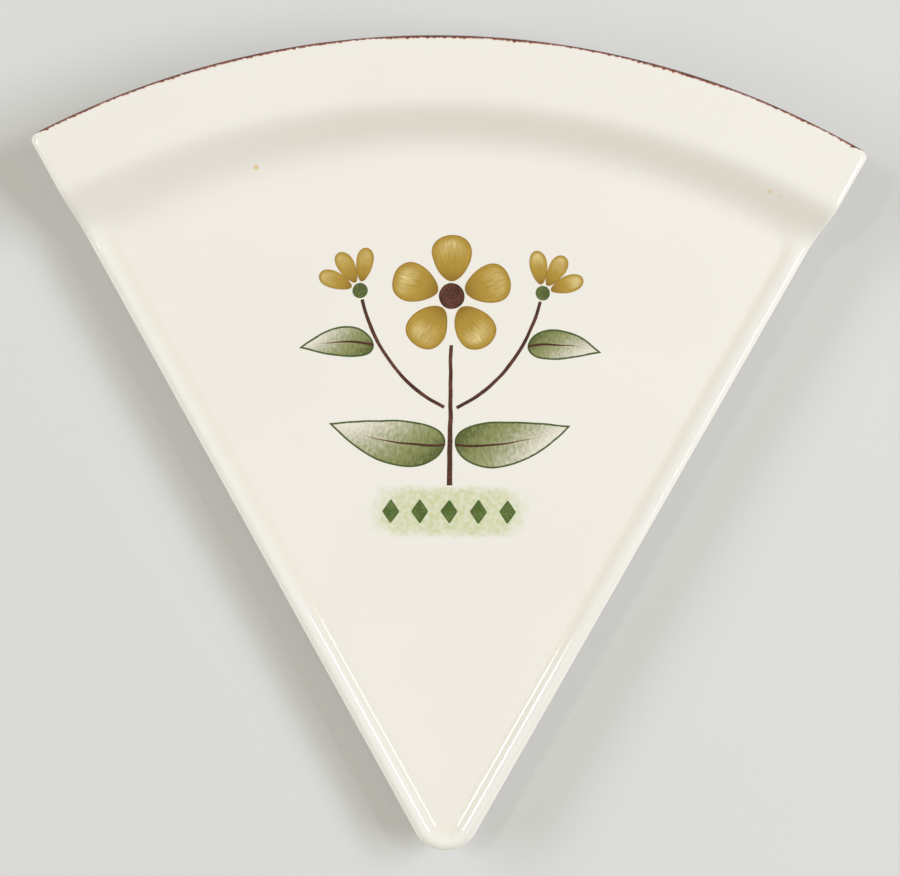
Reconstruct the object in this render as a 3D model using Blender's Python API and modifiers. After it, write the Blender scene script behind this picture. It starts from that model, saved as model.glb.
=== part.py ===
"""A slice-shaped ceramic serving plate, in metres with +Z up.

The origin is at the middle of the plate's outer box, on the plane that the foot ring rests on.
The tip of the slice points to -Y, and the raised rim along its arc lies at +Y.
The fired clay, its glazes, the brushed edge band and each painted shape are separate solids.
"""

import math
from typing import NamedTuple

import bmesh
import bpy
from mathutils import Vector

MM = 0.001

# Slice, seen from above
SLICE_ANGLE = math.radians(58.9)
PLATE_RADIUS = 272.0 * MM
TIP_RADIUS = 11.1 * MM
CORNER_RADIUS = 2.4 * MM

# Heights of the wall, from the resting plane up
FOOT_HEIGHT = 5.0 * MM
FLOOR_THICKNESS = 6.3 * MM
RIM_RISE = 10.6 * MM
RIM_THICKNESS = 4.6 * MM
UNDERSIDE_LIFT = 0.6 * MM

# Raised rim along the arc: flat from the edge inwards, then a soft slope down to the floor
RIM_FLAT = 18.0 * MM
SLOPE_WIDTH = 24.0 * MM
SLOPE_SKEW = 1.4
FLOOR_CORNER_RADIUS = 6.0 * MM

# Lip along the straight sides, which widens and runs out as the rim climbs past it
LIP_CREST = 2.5 * MM
LIP_SLOPE = 5.6 * MM
LIP_HEIGHT = 1.9 * MM
LIP_RUNOUT = 16.0 * MM
LIP_FLARE = 1.2
EDGE_LIFT = 0.7

# Foot ring under the floor
FOOT_SIDE_INSET = 15.0 * MM
FOOT_BEHIND_SLOPE = 8.0 * MM
FOOT_WIDTH = 5.0 * MM
FOOT_TIP_RADIUS = 9.0 * MM
FOOT_CORNER_RADIUS = 12.0 * MM
DRY_FOOT_HEIGHT = 1.2 * MM

# Coatings and the clearance under each of them
SEAT_GAP = 0.3 * MM
GLAZE_THICKNESS = 0.5 * MM
BAND_THICKNESS = 0.3 * MM
PAINT_THICKNESS = 0.3 * MM
PAINT_SPACING = 0.5 * MM

# Brushed band: how far it wraps round the edge, as angles on the edge's half ellipse
BAND_BELOW = math.radians(-20.0)
BAND_ABOVE = math.radians(52.0)

# Painted posy on the floor
POSY_FROM_ARC = 96.5 * MM
BLOSSOM_RISE = 14.0 * MM
BLOSSOM_DISC_RADIUS = 4.2 * MM
BLOSSOM_PETALS = 5
PETAL_LENGTH = 15.0 * MM
PETAL_WIDTH = 12.4 * MM
PETAL_EGG = 0.28
STEM_LENGTH = 45.0 * MM
STEM_TOP_WIDTH = 1.1 * MM
STEM_FOOT_WIDTH = 2.0 * MM
TWIG_DROP = 22.0 * MM
TWIG_REACH = 26.6 * MM
TWIG_CLIMB = 34.5 * MM
TWIG_SAG = 5.0 * MM
TWIG_WIDTH = 1.1 * MM
CALYX_RADIUS = 2.4 * MM
BUD_PETALS = 3
BUD_AXIS = math.radians(60.0)
BUD_FAN = math.radians(39.0)
BUD_PETAL_LENGTH = 11.0 * MM
BUD_PETAL_WIDTH = 5.4 * MM
LOW_LEAF_DROP = 34.0 * MM
LOW_LEAF_LENGTH = 38.0 * MM
LOW_LEAF_WIDTH = 15.0 * MM
LOW_LEAF_ANGLE = math.radians(10.0)
HIGH_LEAF_SHARE = 0.7
HIGH_LEAF_LENGTH = 24.0 * MM
HIGH_LEAF_WIDTH = 10.0 * MM
HIGH_LEAF_ANGLE = math.radians(-4.0)
LEAF_BEND = 0.06

# Row of stamped lozenges below the posy
STAMP_COUNT = 5
STAMP_FROM_STEM = 8.5 * MM
STAMP_PITCH = 9.4 * MM
STAMP_WIDTH = 5.6 * MM
STAMP_LENGTH = 8.0 * MM

# Facets
TIP_STEPS = 4
SIDE_STEPS = 5
CLIMB_STEPS = 16
CORNER_STEPS = 3
ARC_STEPS = 12
UNDERSIDE_STEPS = 6
EDGE_STEPS = 6
TOP_STEPS = 12
BAND_STEPS = 4
SHAPE_STEPS = 10
STROKE_STEPS = 8

# Worked out from the sizes above
HALF_ANGLE = SLICE_ANGLE / 2
SINE = math.sin(HALF_ANGLE)
COSINE = math.cos(HALF_ANGLE)
FLOOR_TOP = FOOT_HEIGHT + FLOOR_THICKNESS
SLOPE_END = RIM_FLAT + SLOPE_WIDTH
LIP_WIDTH = LIP_CREST + LIP_SLOPE
SKIN_DEPTH = GLAZE_THICKNESS + SEAT_GAP
GLAZE_RADIUS = PLATE_RADIUS - BAND_THICKNESS - SEAT_GAP
TIP_CUT = TIP_RADIUS / SINE - TIP_RADIUS
APEX = Vector((0.0, -(PLATE_RADIUS + TIP_CUT) / 2))
TIP_CENTRE = APEX + Vector((0.0, TIP_RADIUS / SINE))
PAINT_BASE = FLOOR_TOP + SEAT_GAP
POSY_CENTRE = APEX + Vector((0.0, PLATE_RADIUS - POSY_FROM_ARC))
PETAL_FOOT = BLOSSOM_DISC_RADIUS + PAINT_SPACING
STEM_TOP = BLOSSOM_RISE - (PETAL_FOOT + PETAL_LENGTH) * math.cos(math.pi / BLOSSOM_PETALS)
STEM_FOOT = STEM_TOP - STEM_LENGTH
TWIG_START = STEM_FOOT_WIDTH / 2 + PAINT_SPACING + TWIG_WIDTH / 2
SMALLEST_FILLET = 0.5 * MM
SAME_POINT = 0.001 * MM
SIDE_START = TIP_RADIUS / math.tan(HALF_ANGLE)
SIDE_CLIMB = GLAZE_RADIUS - 1.15 * SLOPE_END
SIDE_END = GLAZE_RADIUS - LIP_CREST - 2 * CORNER_RADIUS
SIDES = (("left", -1.0), ("right", 1.0))

COLLECTION_NAME = "slice_plate"


class Outline(NamedTuple):
    """A rounded slice: how far it lies in from the sides and the arc, and its fillets."""

    side: float
    arc: float
    tip: float
    corner: float

    def mix(self, other, share):
        """Gives the outline that lies a share of the way to another one."""
        return Outline(*(a + (b - a) * share for a, b in zip(self, other)))

    def inset(self, depth):
        """Gives the outline that lies a depth further in all round."""
        tip = max(self.tip - depth, SMALLEST_FILLET)
        corner = max(self.corner - depth, SMALLEST_FILLET)
        return Outline(self.side + depth, self.arc + depth, tip, corner)


EDGE = Outline(0.0, 0.0, TIP_RADIUS, CORNER_RADIUS)
CREST = Outline(LIP_CREST, LIP_CREST, max(TIP_RADIUS - LIP_CREST, SMALLEST_FILLET), CORNER_RADIUS)
FLOOR_EDGE = Outline(
    LIP_WIDTH, SLOPE_END, max(TIP_RADIUS - LIP_WIDTH, SMALLEST_FILLET), FLOOR_CORNER_RADIUS
)
FOOT = Outline(FOOT_SIDE_INSET, SLOPE_END + FOOT_BEHIND_SLOPE, FOOT_TIP_RADIUS, FOOT_CORNER_RADIUS)


def spread(centre, radius, angle):
    """Gives the point at an angle on a circle."""
    return centre + radius * Vector((math.cos(angle), math.sin(angle)))


def side_stations():
    """Gives the distances from the apex at which every outline's side has points, closer on the climb."""
    low = [SIDE_START + (SIDE_CLIMB - SIDE_START) * step / SIDE_STEPS for step in range(SIDE_STEPS)]
    high = [SIDE_CLIMB + (SIDE_END - SIDE_CLIMB) * step / CLIMB_STEPS for step in range(CLIMB_STEPS + 1)]
    return low + high


def right_half(outline):
    """Gives the right half of a rounded slice, from the tip's lowest point to the arc's middle."""
    radius = GLAZE_RADIUS - outline.arc
    along_side = Vector((SINE, COSINE))
    inwards = Vector((-COSINE, SINE))
    tip = APEX + Vector((0.0, (outline.side + outline.tip) / SINE))
    depth = outline.side + outline.corner
    start = (outline.side + outline.tip) / math.tan(HALF_ANGLE)
    end = math.sqrt((radius - outline.corner) ** 2 - depth**2)
    corner = APEX + along_side * end + inwards * depth
    turn = math.atan2(corner.y - APEX.y, corner.x - APEX.x)
    points = []
    tip_turn = math.pi / 2 - HALF_ANGLE
    for step in range(TIP_STEPS):
        points.append(spread(tip, outline.tip, -math.pi / 2 + tip_turn * step / TIP_STEPS))
    for station in side_stations():
        # Stations beyond this outline's own side fall together at its ends
        along = min(max(station, start), end)
        points.append(APEX + along_side * along + inwards * outline.side)
    corner_turn = turn + HALF_ANGLE
    for step in range(CORNER_STEPS):
        points.append(spread(corner, outline.corner, -HALF_ANGLE + corner_turn * step / CORNER_STEPS))
    for step in range(ARC_STEPS + 1):
        # Steps shorten towards the corner
        points.append(spread(APEX, radius, turn + (math.pi / 2 - turn) * (step / ARC_STEPS) ** 2))
    return points


def outline_points(outline):
    """Gives a rounded slice anticlockwise, starting at the tip."""
    right = right_half(outline)
    left = [Vector((-point.x, point.y)) for point in reversed(right[1:-1])]
    return right + left


def ease(share):
    """Gives a smooth step from 0 to 1."""
    share = min(max(share, 0.0), 1.0)
    return share * share * (3 - 2 * share)


def steep_ease(share):
    """Gives a smooth step from 0 to 1 with gentler ends and a steeper middle."""
    share = min(max(share, 0.0), 1.0)
    return share**3 * (10 - 15 * share + 6 * share**2)


def from_arc(point):
    """Gives how far a point lies in from the arc's edge."""
    return GLAZE_RADIUS - (point - APEX).length


def from_side(point):
    """Gives how far a point lies in from the nearer straight side, or from the rounded tip."""
    to_tip = point - TIP_CENTRE
    if to_tip.y < 0 and abs(to_tip.x) * SINE < -to_tip.y * COSINE:
        return TIP_RADIUS - to_tip.length
    to_apex = point - APEX
    return to_apex.y * SINE - abs(to_apex.x) * COSINE


def rim_share(point):
    """Gives 0 on the floor and 1 on the flat of the rim."""
    climb = (SLOPE_END - from_arc(point)) / SLOPE_WIDTH
    return steep_ease(max(climb, 0.0) ** SLOPE_SKEW)


def lip_share(point):
    """Gives 1 beside the floor and 0 where the lip has run out."""
    return ease((from_arc(point) - SLOPE_END) / LIP_RUNOUT + 1)


def top_height(point):
    """Gives the height of the glazed top."""
    lip = lip_share(point)
    width = LIP_SLOPE * (1 + LIP_FLARE * (1 - lip))
    fall = ease((from_side(point) - LIP_CREST) / width)
    return FLOOR_TOP + RIM_RISE * rim_share(point) + LIP_HEIGHT * lip * (1 - fall)


def under_height(point):
    """Gives the height of the glazed underside."""
    share = rim_share(point)
    wall = FLOOR_THICKNESS + (RIM_THICKNESS - FLOOR_THICKNESS) * share
    fall = ease((from_side(point) - LIP_CREST) / (FOOT_SIDE_INSET - LIP_CREST))
    return FLOOR_TOP + RIM_RISE * share - wall + UNDERSIDE_LIFT * (1 - fall)


def ring(outline, share, depth=0.0):
    """Gives a closed row, a share of the way from the underside up to the top and a depth inside the skin."""
    row = []
    for point, place in zip(outline_points(outline), outline_points(outline.inset(depth))):
        low = under_height(point) + depth
        high = top_height(point) - depth
        row.append(Vector((place.x, place.y, low + (high - low) * share)))
    return row


def edge_ring(angle, depth=0.0):
    """Gives the row at an angle on the half ellipse that rounds the outer edge."""
    out = 1 - math.cos(angle)
    share = ((1 + math.sin(angle)) / 2) ** EDGE_LIFT
    return ring(EDGE.mix(CREST, out), share, depth)


def level_row(outline, height):
    """Gives a row of points at one height."""
    return [point.to_3d() + Vector((0.0, 0.0, height)) for point in outline_points(outline)]


def skin_rows(depth):
    """Gives the rows of the skin, from the foot's wall out, over the edge and in to the floor."""
    rows = [level_row(FOOT.inset(depth), DRY_FOOT_HEIGHT)]
    for step in range(UNDERSIDE_STEPS):
        rows.append(ring(FOOT.mix(CREST, step / UNDERSIDE_STEPS), 0.0, depth))
    for step in range(EDGE_STEPS):
        rows.append(edge_ring(math.pi * (step / EDGE_STEPS - 0.5), depth))
    for step in range(TOP_STEPS + 1):
        rows.append(ring(CREST.mix(FLOOR_EDGE, step / TOP_STEPS), 1.0, depth))
    return rows


def add_line(bm, row):
    """Adds a row of points as vertices, one for points that fall together."""
    line = []
    for point in row:
        if line and (point - line[-1].co).length < SAME_POINT:
            line.append(line[-1])
        else:
            line.append(bm.verts.new(point))
    return line


def bridge(bm, lower, upper, closed=True, guide=None):
    """Joins two rows of vertices with triangles, split along the shorter diagonal of the guide's rows."""
    low, high = guide or ([vert.co for vert in lower], [vert.co for vert in upper])
    count = len(lower) if closed else len(lower) - 1
    for here in range(count):
        there = (here + 1) % len(lower)
        rising = (high[there] - low[here]).length < (high[here] - low[there]).length
        first = (lower[here], lower[there], upper[there] if rising else upper[here])
        second = (lower[here] if rising else lower[there], upper[there], upper[here])
        for corners in (first, second):
            if len(set(corners)) == 3:
                bm.faces.new(corners)


def cover(bm, line):
    """Closes a row of vertices with one flat face."""
    bm.faces.new(list(dict.fromkeys(line)))


def loft(rows, closed=True):
    """Joins rows of points with faces and gives the mesh in the making and its rows of vertices."""
    bm = bmesh.new()
    lines = [add_line(bm, row) for row in rows]
    for lower, upper in zip(lines, lines[1:]):
        bridge(bm, lower, upper, closed)
    return bm, lines


def add_skin(bm, depth):
    """Adds the plate's skin at a depth, split alike at every depth, and gives its rows of vertices."""
    guides = skin_rows(0.0)
    lines = [add_line(bm, row) for row in skin_rows(depth)]
    for step in range(len(lines) - 1):
        bridge(bm, lines[step], lines[step + 1], guide=(guides[step], guides[step + 1]))
    cover(bm, lines[-1])
    return lines


def shift_along_normals(bm, distance):
    """Moves a skin outwards by a distance, kept even round the bends."""
    bm.normal_update()
    moves = [(vert, vert.normal * vert.calc_shell_factor() * distance) for vert in bm.verts]
    for vert, move in moves:
        vert.co += move


def material(name, colour, roughness):
    """Makes a plain material."""
    made = bpy.data.materials.new(name)
    made.use_nodes = True
    shader = made.node_tree.nodes["Principled BSDF"]
    shader.inputs["Base Color"].default_value = (*colour, 1.0)
    shader.inputs["Roughness"].default_value = roughness
    shader.inputs["Metallic"].default_value = 0.0
    made.diffuse_color = (*colour, 1.0)
    return made


def add_object(name, data, finish, parent):
    """Adds an object with its finish to the plate's collection."""
    made = bpy.data.objects.new(name, data)
    data.materials.append(finish)
    bpy.data.collections[COLLECTION_NAME].objects.link(made)
    made.parent = parent
    return made


def add_mesh(name, bm, finish, parent):
    """Turns a mesh in the making into a smooth-shaded object."""
    mesh = bpy.data.meshes.new(name)
    bm.to_mesh(mesh)
    bm.free()
    mesh.shade_smooth()
    mesh.set_sharp_from_angle(angle=math.radians(40.0))
    return add_object(name, mesh, finish, parent)


def build_glaze_coat(finish, parent):
    """Builds the cream glaze over the top, the edge and the underside down to the dry foot."""
    bm = bmesh.new()
    inner = add_skin(bm, GLAZE_THICKNESS)
    bmesh.ops.reverse_faces(bm, faces=bm.faces[:])
    outer = add_skin(bm, 0.0)
    bridge(bm, inner[0], outer[0])
    add_mesh("glaze_coat", bm, finish, parent)


def build_clay_body(finish, parent):
    """Builds the fired clay inside the glaze, with its foot ring and the recess in the foot."""
    bm = bmesh.new()
    line = add_skin(bm, SKIN_DEPTH)[0]
    sole = level_row(FOOT.inset(SKIN_DEPTH), 0.0)
    recess = FOOT.inset(FOOT_WIDTH)
    for row in (sole, level_row(recess, 0.0), level_row(recess, FOOT_HEIGHT + SKIN_DEPTH)):
        below = add_line(bm, row)
        bridge(bm, below, line)
        line = below
    cover(bm, reversed(line))
    add_mesh("clay_body", bm, finish, parent)


def build_base_glaze(finish, parent):
    """Builds the glaze on the underside inside the foot ring."""
    panel = FOOT.inset(FOOT_WIDTH + SEAT_GAP)
    bm, lines = loft([level_row(panel, FOOT_HEIGHT), level_row(panel, FOOT_HEIGHT + GLAZE_THICKNESS)])
    cover(bm, lines[-1])
    cover(bm, reversed(lines[0]))
    add_mesh("base_glaze", bm, finish, parent)


def build_edge_band(finish, parent):
    """Builds the brushed band that wraps the edge along the arc."""
    first = TIP_STEPS + len(side_stations()) + CORNER_STEPS
    last = first + 2 * ARC_STEPS
    rows = []
    for step in range(BAND_STEPS + 1):
        angle = BAND_BELOW + (BAND_ABOVE - BAND_BELOW) * step / BAND_STEPS
        rows.append(edge_ring(angle)[first : last + 1])
    bm, _ = loft(rows, closed=False)
    shift_along_normals(bm, SEAT_GAP)
    band = add_mesh("edge_band", bm, finish, parent)
    wall = band.modifiers.new("thickness", "SOLIDIFY")
    wall.thickness = BAND_THICKNESS
    wall.offset = 1.0
    wall.use_even_offset = True


def add_painted(name, points, finish, parent, place, turn=0.0):
    """Adds a flat painted shape that lies just over the floor."""
    curve = bpy.data.curves.new(name, "CURVE")
    curve.dimensions = "2D"
    curve.fill_mode = "BOTH"
    curve.extrude = PAINT_THICKNESS / 2
    spline = curve.splines.new("POLY")
    spline.points.add(len(points) - 1)
    for control, point in zip(spline.points, points):
        control.co = (point[0], point[1], 0.0, 1.0)
    spline.use_cyclic_u = True
    made = add_object(name, curve, finish, parent)
    made.location = place
    made.rotation_euler.z = turn


def disc_points(radius):
    """Gives a round spot about the origin."""
    centre = Vector((0.0, 0.0))
    return [spread(centre, radius, math.pi * step / SHAPE_STEPS) for step in range(2 * SHAPE_STEPS)]


def petal_points(length, width):
    """Gives an egg-shaped petal that starts at the origin and points along +X."""
    points = []
    for step in range(2 * SHAPE_STEPS):
        angle = math.pi * step / SHAPE_STEPS
        along = length * (1 - math.cos(angle)) / 2
        points.append((along, width / 2 * math.sin(angle) * (1 - PETAL_EGG * math.cos(angle))))
    return points


def leaf_points(length, width, bend):
    """Gives a leaf with a pointed tip that starts at the origin and points along +X."""
    # The product below peaks at this value, so the leaf is as wide as it says
    peak = 4 / (3 * math.sqrt(3))
    points = []
    for step in range(2 * SHAPE_STEPS):
        angle = math.pi * step / SHAPE_STEPS
        share = (1 - math.cos(angle)) / 2
        half = width / 2 * math.sin(angle) * abs(math.cos(angle / 2)) / peak
        points.append((length * share, half + 4 * bend * length * share * (1 - share)))
    return points


def twig_point(side, share):
    """Gives a point on a side twig, measured from the posy's centre."""
    start = Vector((side * TWIG_START, -TWIG_DROP))
    end = start + Vector((side * TWIG_REACH, TWIG_CLIMB))
    elbow = start.lerp(end, 0.5) + Vector((side, -1.0)).normalized() * 2 * TWIG_SAG
    return start.lerp(elbow, share).lerp(elbow.lerp(end, share), share)


def twig_points(side):
    """Gives the outline of a side twig as a stroke of even width."""
    centre = [twig_point(side, step / STROKE_STEPS) for step in range(STROKE_STEPS + 1)]
    left = []
    right = []
    for index, point in enumerate(centre):
        ahead = centre[min(index + 1, STROKE_STEPS)] - centre[max(index - 1, 0)]
        across = Vector((-ahead.y, ahead.x)).normalized() * TWIG_WIDTH / 2
        left.append(point + across)
        right.append(point - across)
    return left + right[::-1]


def build_blossom(petal, disc, posy):
    """Paints the blossom: a disc with a ring of petals."""
    centre = Vector((0.0, BLOSSOM_RISE, 0.0))
    add_painted("blossom_disc", disc_points(BLOSSOM_DISC_RADIUS), disc, posy, centre)
    for number in range(BLOSSOM_PETALS):
        # The stem runs down between the first petal and the last
        turn = math.pi * (2 * number + 1) / BLOSSOM_PETALS - math.pi / 2
        foot = spread(centre.to_2d(), PETAL_FOOT, turn).to_3d()
        shape = petal_points(PETAL_LENGTH, PETAL_WIDTH)
        add_painted(f"blossom_petal_{number + 1}", shape, petal, posy, foot, turn)


def build_bud(side_name, side, petal, calyx, posy):
    """Paints a bud at the end of a side twig: a calyx with a fan of petals."""
    end = twig_point(side, 1.0)
    ahead = (end - twig_point(side, 1 - 1 / STROKE_STEPS)).normalized()
    centre = (end + ahead * (CALYX_RADIUS + PAINT_SPACING)).to_3d()
    add_painted(f"{side_name}_calyx", disc_points(CALYX_RADIUS), calyx, posy, centre)
    axis = BUD_AXIS if side > 0 else math.pi - BUD_AXIS
    for number in range(BUD_PETALS):
        turn = axis + BUD_FAN * (number - (BUD_PETALS - 1) / 2)
        foot = spread(centre.to_2d(), CALYX_RADIUS + PAINT_SPACING, turn).to_3d()
        shape = petal_points(BUD_PETAL_LENGTH, BUD_PETAL_WIDTH)
        add_painted(f"{side_name}_bud_petal_{number + 1}", shape, petal, posy, foot, turn)


def build_leaves(side_name, side, finish, posy):
    """Paints the two leaves on one side of the posy."""
    low = Vector((side * (STEM_FOOT_WIDTH / 2 + PAINT_SPACING), -LOW_LEAF_DROP, 0.0))
    low_turn = LOW_LEAF_ANGLE if side > 0 else math.pi - LOW_LEAF_ANGLE
    low_shape = leaf_points(LOW_LEAF_LENGTH, LOW_LEAF_WIDTH, -side * LEAF_BEND)
    add_painted(f"{side_name}_low_leaf", low_shape, finish, posy, low, low_turn)
    stalk = twig_point(side, HIGH_LEAF_SHARE)
    high = (stalk + Vector((side, -1.0)).normalized() * (TWIG_WIDTH + PAINT_SPACING)).to_3d()
    high_turn = HIGH_LEAF_ANGLE if side > 0 else math.pi - HIGH_LEAF_ANGLE
    high_shape = leaf_points(HIGH_LEAF_LENGTH, HIGH_LEAF_WIDTH, side * LEAF_BEND)
    add_painted(f"{side_name}_high_leaf", high_shape, finish, posy, high, high_turn)


def build_stems(finish, posy):
    """Paints the upright stem and the two side twigs."""
    top = STEM_TOP_WIDTH / 2
    foot = STEM_FOOT_WIDTH / 2
    stem = [(-foot, STEM_FOOT), (foot, STEM_FOOT), (top, STEM_TOP), (-top, STEM_TOP)]
    add_painted("stem", stem, finish, posy, Vector((0.0, 0.0, 0.0)))
    for side_name, side in SIDES:
        add_painted(f"{side_name}_twig", twig_points(side), finish, posy, Vector((0.0, 0.0, 0.0)))


def build_stamps(finish, posy):
    """Stamps a row of lozenges below the posy."""
    row = STEM_FOOT - STAMP_FROM_STEM
    across = STAMP_WIDTH / 2
    along = STAMP_LENGTH / 2
    lozenge = [(across, 0.0), (0.0, along), (-across, 0.0), (0.0, -along)]
    for number in range(STAMP_COUNT):
        place = Vector((STAMP_PITCH * (number - (STAMP_COUNT - 1) / 2), row, 0.0))
        add_painted(f"stamp_{number + 1}", lozenge, finish, posy, place)


def add_empty(name, place, parent):
    """Adds an empty that carries the pieces of one group."""
    empty = bpy.data.objects.new(name, None)
    bpy.data.collections[COLLECTION_NAME].objects.link(empty)
    empty.location = place
    empty.parent = parent
    return empty


def main():
    """Clears the scene and builds the plate."""
    for old in list(bpy.data.objects):
        bpy.data.objects.remove(old)
    bpy.context.scene.collection.children.link(bpy.data.collections.new(COLLECTION_NAME))

    clay = material("bare_clay", (0.72, 0.62, 0.50), 0.85)
    cream = material("cream_glaze", (0.87, 0.84, 0.77), 0.22)
    rust = material("rust_brush", (0.19, 0.06, 0.03), 0.45)
    gold = material("gold_paint", (0.52, 0.33, 0.05), 0.25)
    green = material("green_paint", (0.15, 0.19, 0.06), 0.25)
    brown = material("brown_paint", (0.08, 0.03, 0.02), 0.30)

    plate = add_empty("plate", Vector((0.0, 0.0, 0.0)), None)
    build_clay_body(clay, plate)
    build_glaze_coat(cream, plate)
    build_base_glaze(cream, plate)
    build_edge_band(rust, plate)

    floor_level = PAINT_BASE + PAINT_THICKNESS / 2
    posy = add_empty("posy", POSY_CENTRE.to_3d() + Vector((0.0, 0.0, floor_level)), plate)
    build_blossom(gold, brown, posy)
    build_stems(brown, posy)
    for side_name, side in SIDES:
        build_bud(side_name, side, gold, green, posy)
        build_leaves(side_name, side, green, posy)
    build_stamps(green, posy)


main()
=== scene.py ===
"""Dresses the slice-shaped plate: cream glaze, bare clay foot, brushed edge and painted posy."""

import logging
import math
from abc import ABC, abstractmethod
from contextlib import contextmanager
from dataclasses import dataclass, field, replace
from enum import Enum
from typing import Callable, Iterator, NamedTuple, Sequence

import bpy
import numpy as np
from mathutils import Matrix, Vector, noise


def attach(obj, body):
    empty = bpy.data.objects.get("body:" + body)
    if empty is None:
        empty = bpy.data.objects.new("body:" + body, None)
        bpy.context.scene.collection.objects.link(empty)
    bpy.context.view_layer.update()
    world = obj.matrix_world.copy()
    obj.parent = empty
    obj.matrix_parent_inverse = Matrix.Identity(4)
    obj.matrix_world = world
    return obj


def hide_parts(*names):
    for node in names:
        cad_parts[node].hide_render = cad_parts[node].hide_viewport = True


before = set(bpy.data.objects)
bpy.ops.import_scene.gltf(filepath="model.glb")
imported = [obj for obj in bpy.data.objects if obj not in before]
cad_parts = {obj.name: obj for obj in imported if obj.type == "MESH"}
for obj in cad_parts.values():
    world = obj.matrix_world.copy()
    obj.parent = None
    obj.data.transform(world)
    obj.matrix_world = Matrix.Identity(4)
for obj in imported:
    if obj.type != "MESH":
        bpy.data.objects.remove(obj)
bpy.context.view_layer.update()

MM = 0.001
BODY = "root"
GLAZE_IOR = 1.52
WELD_GAP = 0.0005 * MM
LEVEL_GAP = 0.001 * MM
LEAST_SQUARE = 1e-18
SMOOTH_ANGLE = math.radians(40.0)
LEAST_FILLET = 0.3 * MM
STAMP_GAP = 8.5 * MM
GROUND_REACH = (27.0 * MM, 9.0 * MM)
# A Mix node's colour sockets, which share their names with its other sockets
MIX_FIRST = 6
MIX_SECOND = 7
MIX_RESULT = 2
# Where the hand's slip along Y is read, away from the slip along X
SLIP_OFFSET = Vector((17.3, 5.1, 2.7))

Triple = tuple[float, float, float]
Colour = Triple
Span = tuple[float, float]
Size = tuple[float, float]
Socket = bpy.types.NodeSocket
Placer = Callable[[float, float], Vector]
Stroke = Callable[[float], tuple[Vector, Vector]]

log = logging.getLogger("plate")


class Slot(Enum):
    """The material slots that the finishes belong to."""

    CLAY = "bare_clay"
    CREAM = "cream_glaze"
    RUST = "rust_brush"
    GOLD = "gold_paint"
    GREEN = "green_paint"
    BROWN = "brown_paint"


class Side(Enum):
    """The two sides of the slice, seen from above with the arc away from the viewer."""

    LEFT = -1.0
    RIGHT = 1.0

    @property
    def label(self) -> str:
        """The side's name in lower case."""
        return self.name.lower()

    def mirror(self, angle: float) -> float:
        """Gives an angle meant for the right side as it lies on this side."""
        return angle if self is Side.RIGHT else math.pi - angle


class Detail(Enum):
    """How much fine detail a cloudy pattern has."""

    SOFT = 2.0
    CLOUDY = 3.0
    CRISP = 4.0


def ease(share: float) -> float:
    """Gives a smooth step from 0 to 1."""
    share = min(max(share, 0.0), 1.0)
    return share * share * (3 - 2 * share)


def steep_ease(share: float) -> float:
    """Gives a smooth step from 0 to 1 with gentler ends and a steeper middle."""
    share = min(max(share, 0.0), 1.0)
    return share**3 * (10 - 15 * share + 6 * share**2)


def hump(value: float, middle: float, reach: float) -> float:
    """Gives 1 at the middle, falling smoothly to 0 a reach away on both sides."""
    return max(1 - ((value - middle) / reach) ** 2, 0.0) ** 2


def spread(centre: Vector, radius: float, angle: float) -> Vector:
    """Gives the point at an angle on a circle."""
    return centre + radius * Vector((math.cos(angle), math.sin(angle)))


def waver(place: Vector, grain: float, amount: float) -> Vector:
    """Gives the small sideways slip of a hand-drawn line.

    Args:
        place: The point on the plan.
        grain: The length over which the slip changes.
        amount: The largest slip, about.

    Returns:
        The slip as a plan vector.
    """
    seed = Vector((place.x, place.y, 0.0)) / grain
    return amount * Vector((noise.noise(seed), noise.noise(seed + SLIP_OFFSET)))


class Outline(NamedTuple):
    """A rounded slice: how far it lies in from the sides and the arc, and its fillets."""

    side: float
    arc: float
    tip: float
    corner: float

    def mix(self, other: "Outline", share: float) -> "Outline":
        """Gives the outline that lies a share of the way to another one."""
        return Outline(*(a + (b - a) * share for a, b in zip(self, other)))

    def inset(self, depth: float) -> "Outline":
        """Gives the outline that lies a depth further in all round.

        Args:
            depth: How far in the new outline lies.

        Returns:
            The inner outline, whose fillets keep a least radius.
        """
        tip = max(self.tip - depth, LEAST_FILLET)
        corner = max(self.corner - depth, LEAST_FILLET)
        return Outline(self.side + depth, self.arc + depth, tip, corner)


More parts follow.
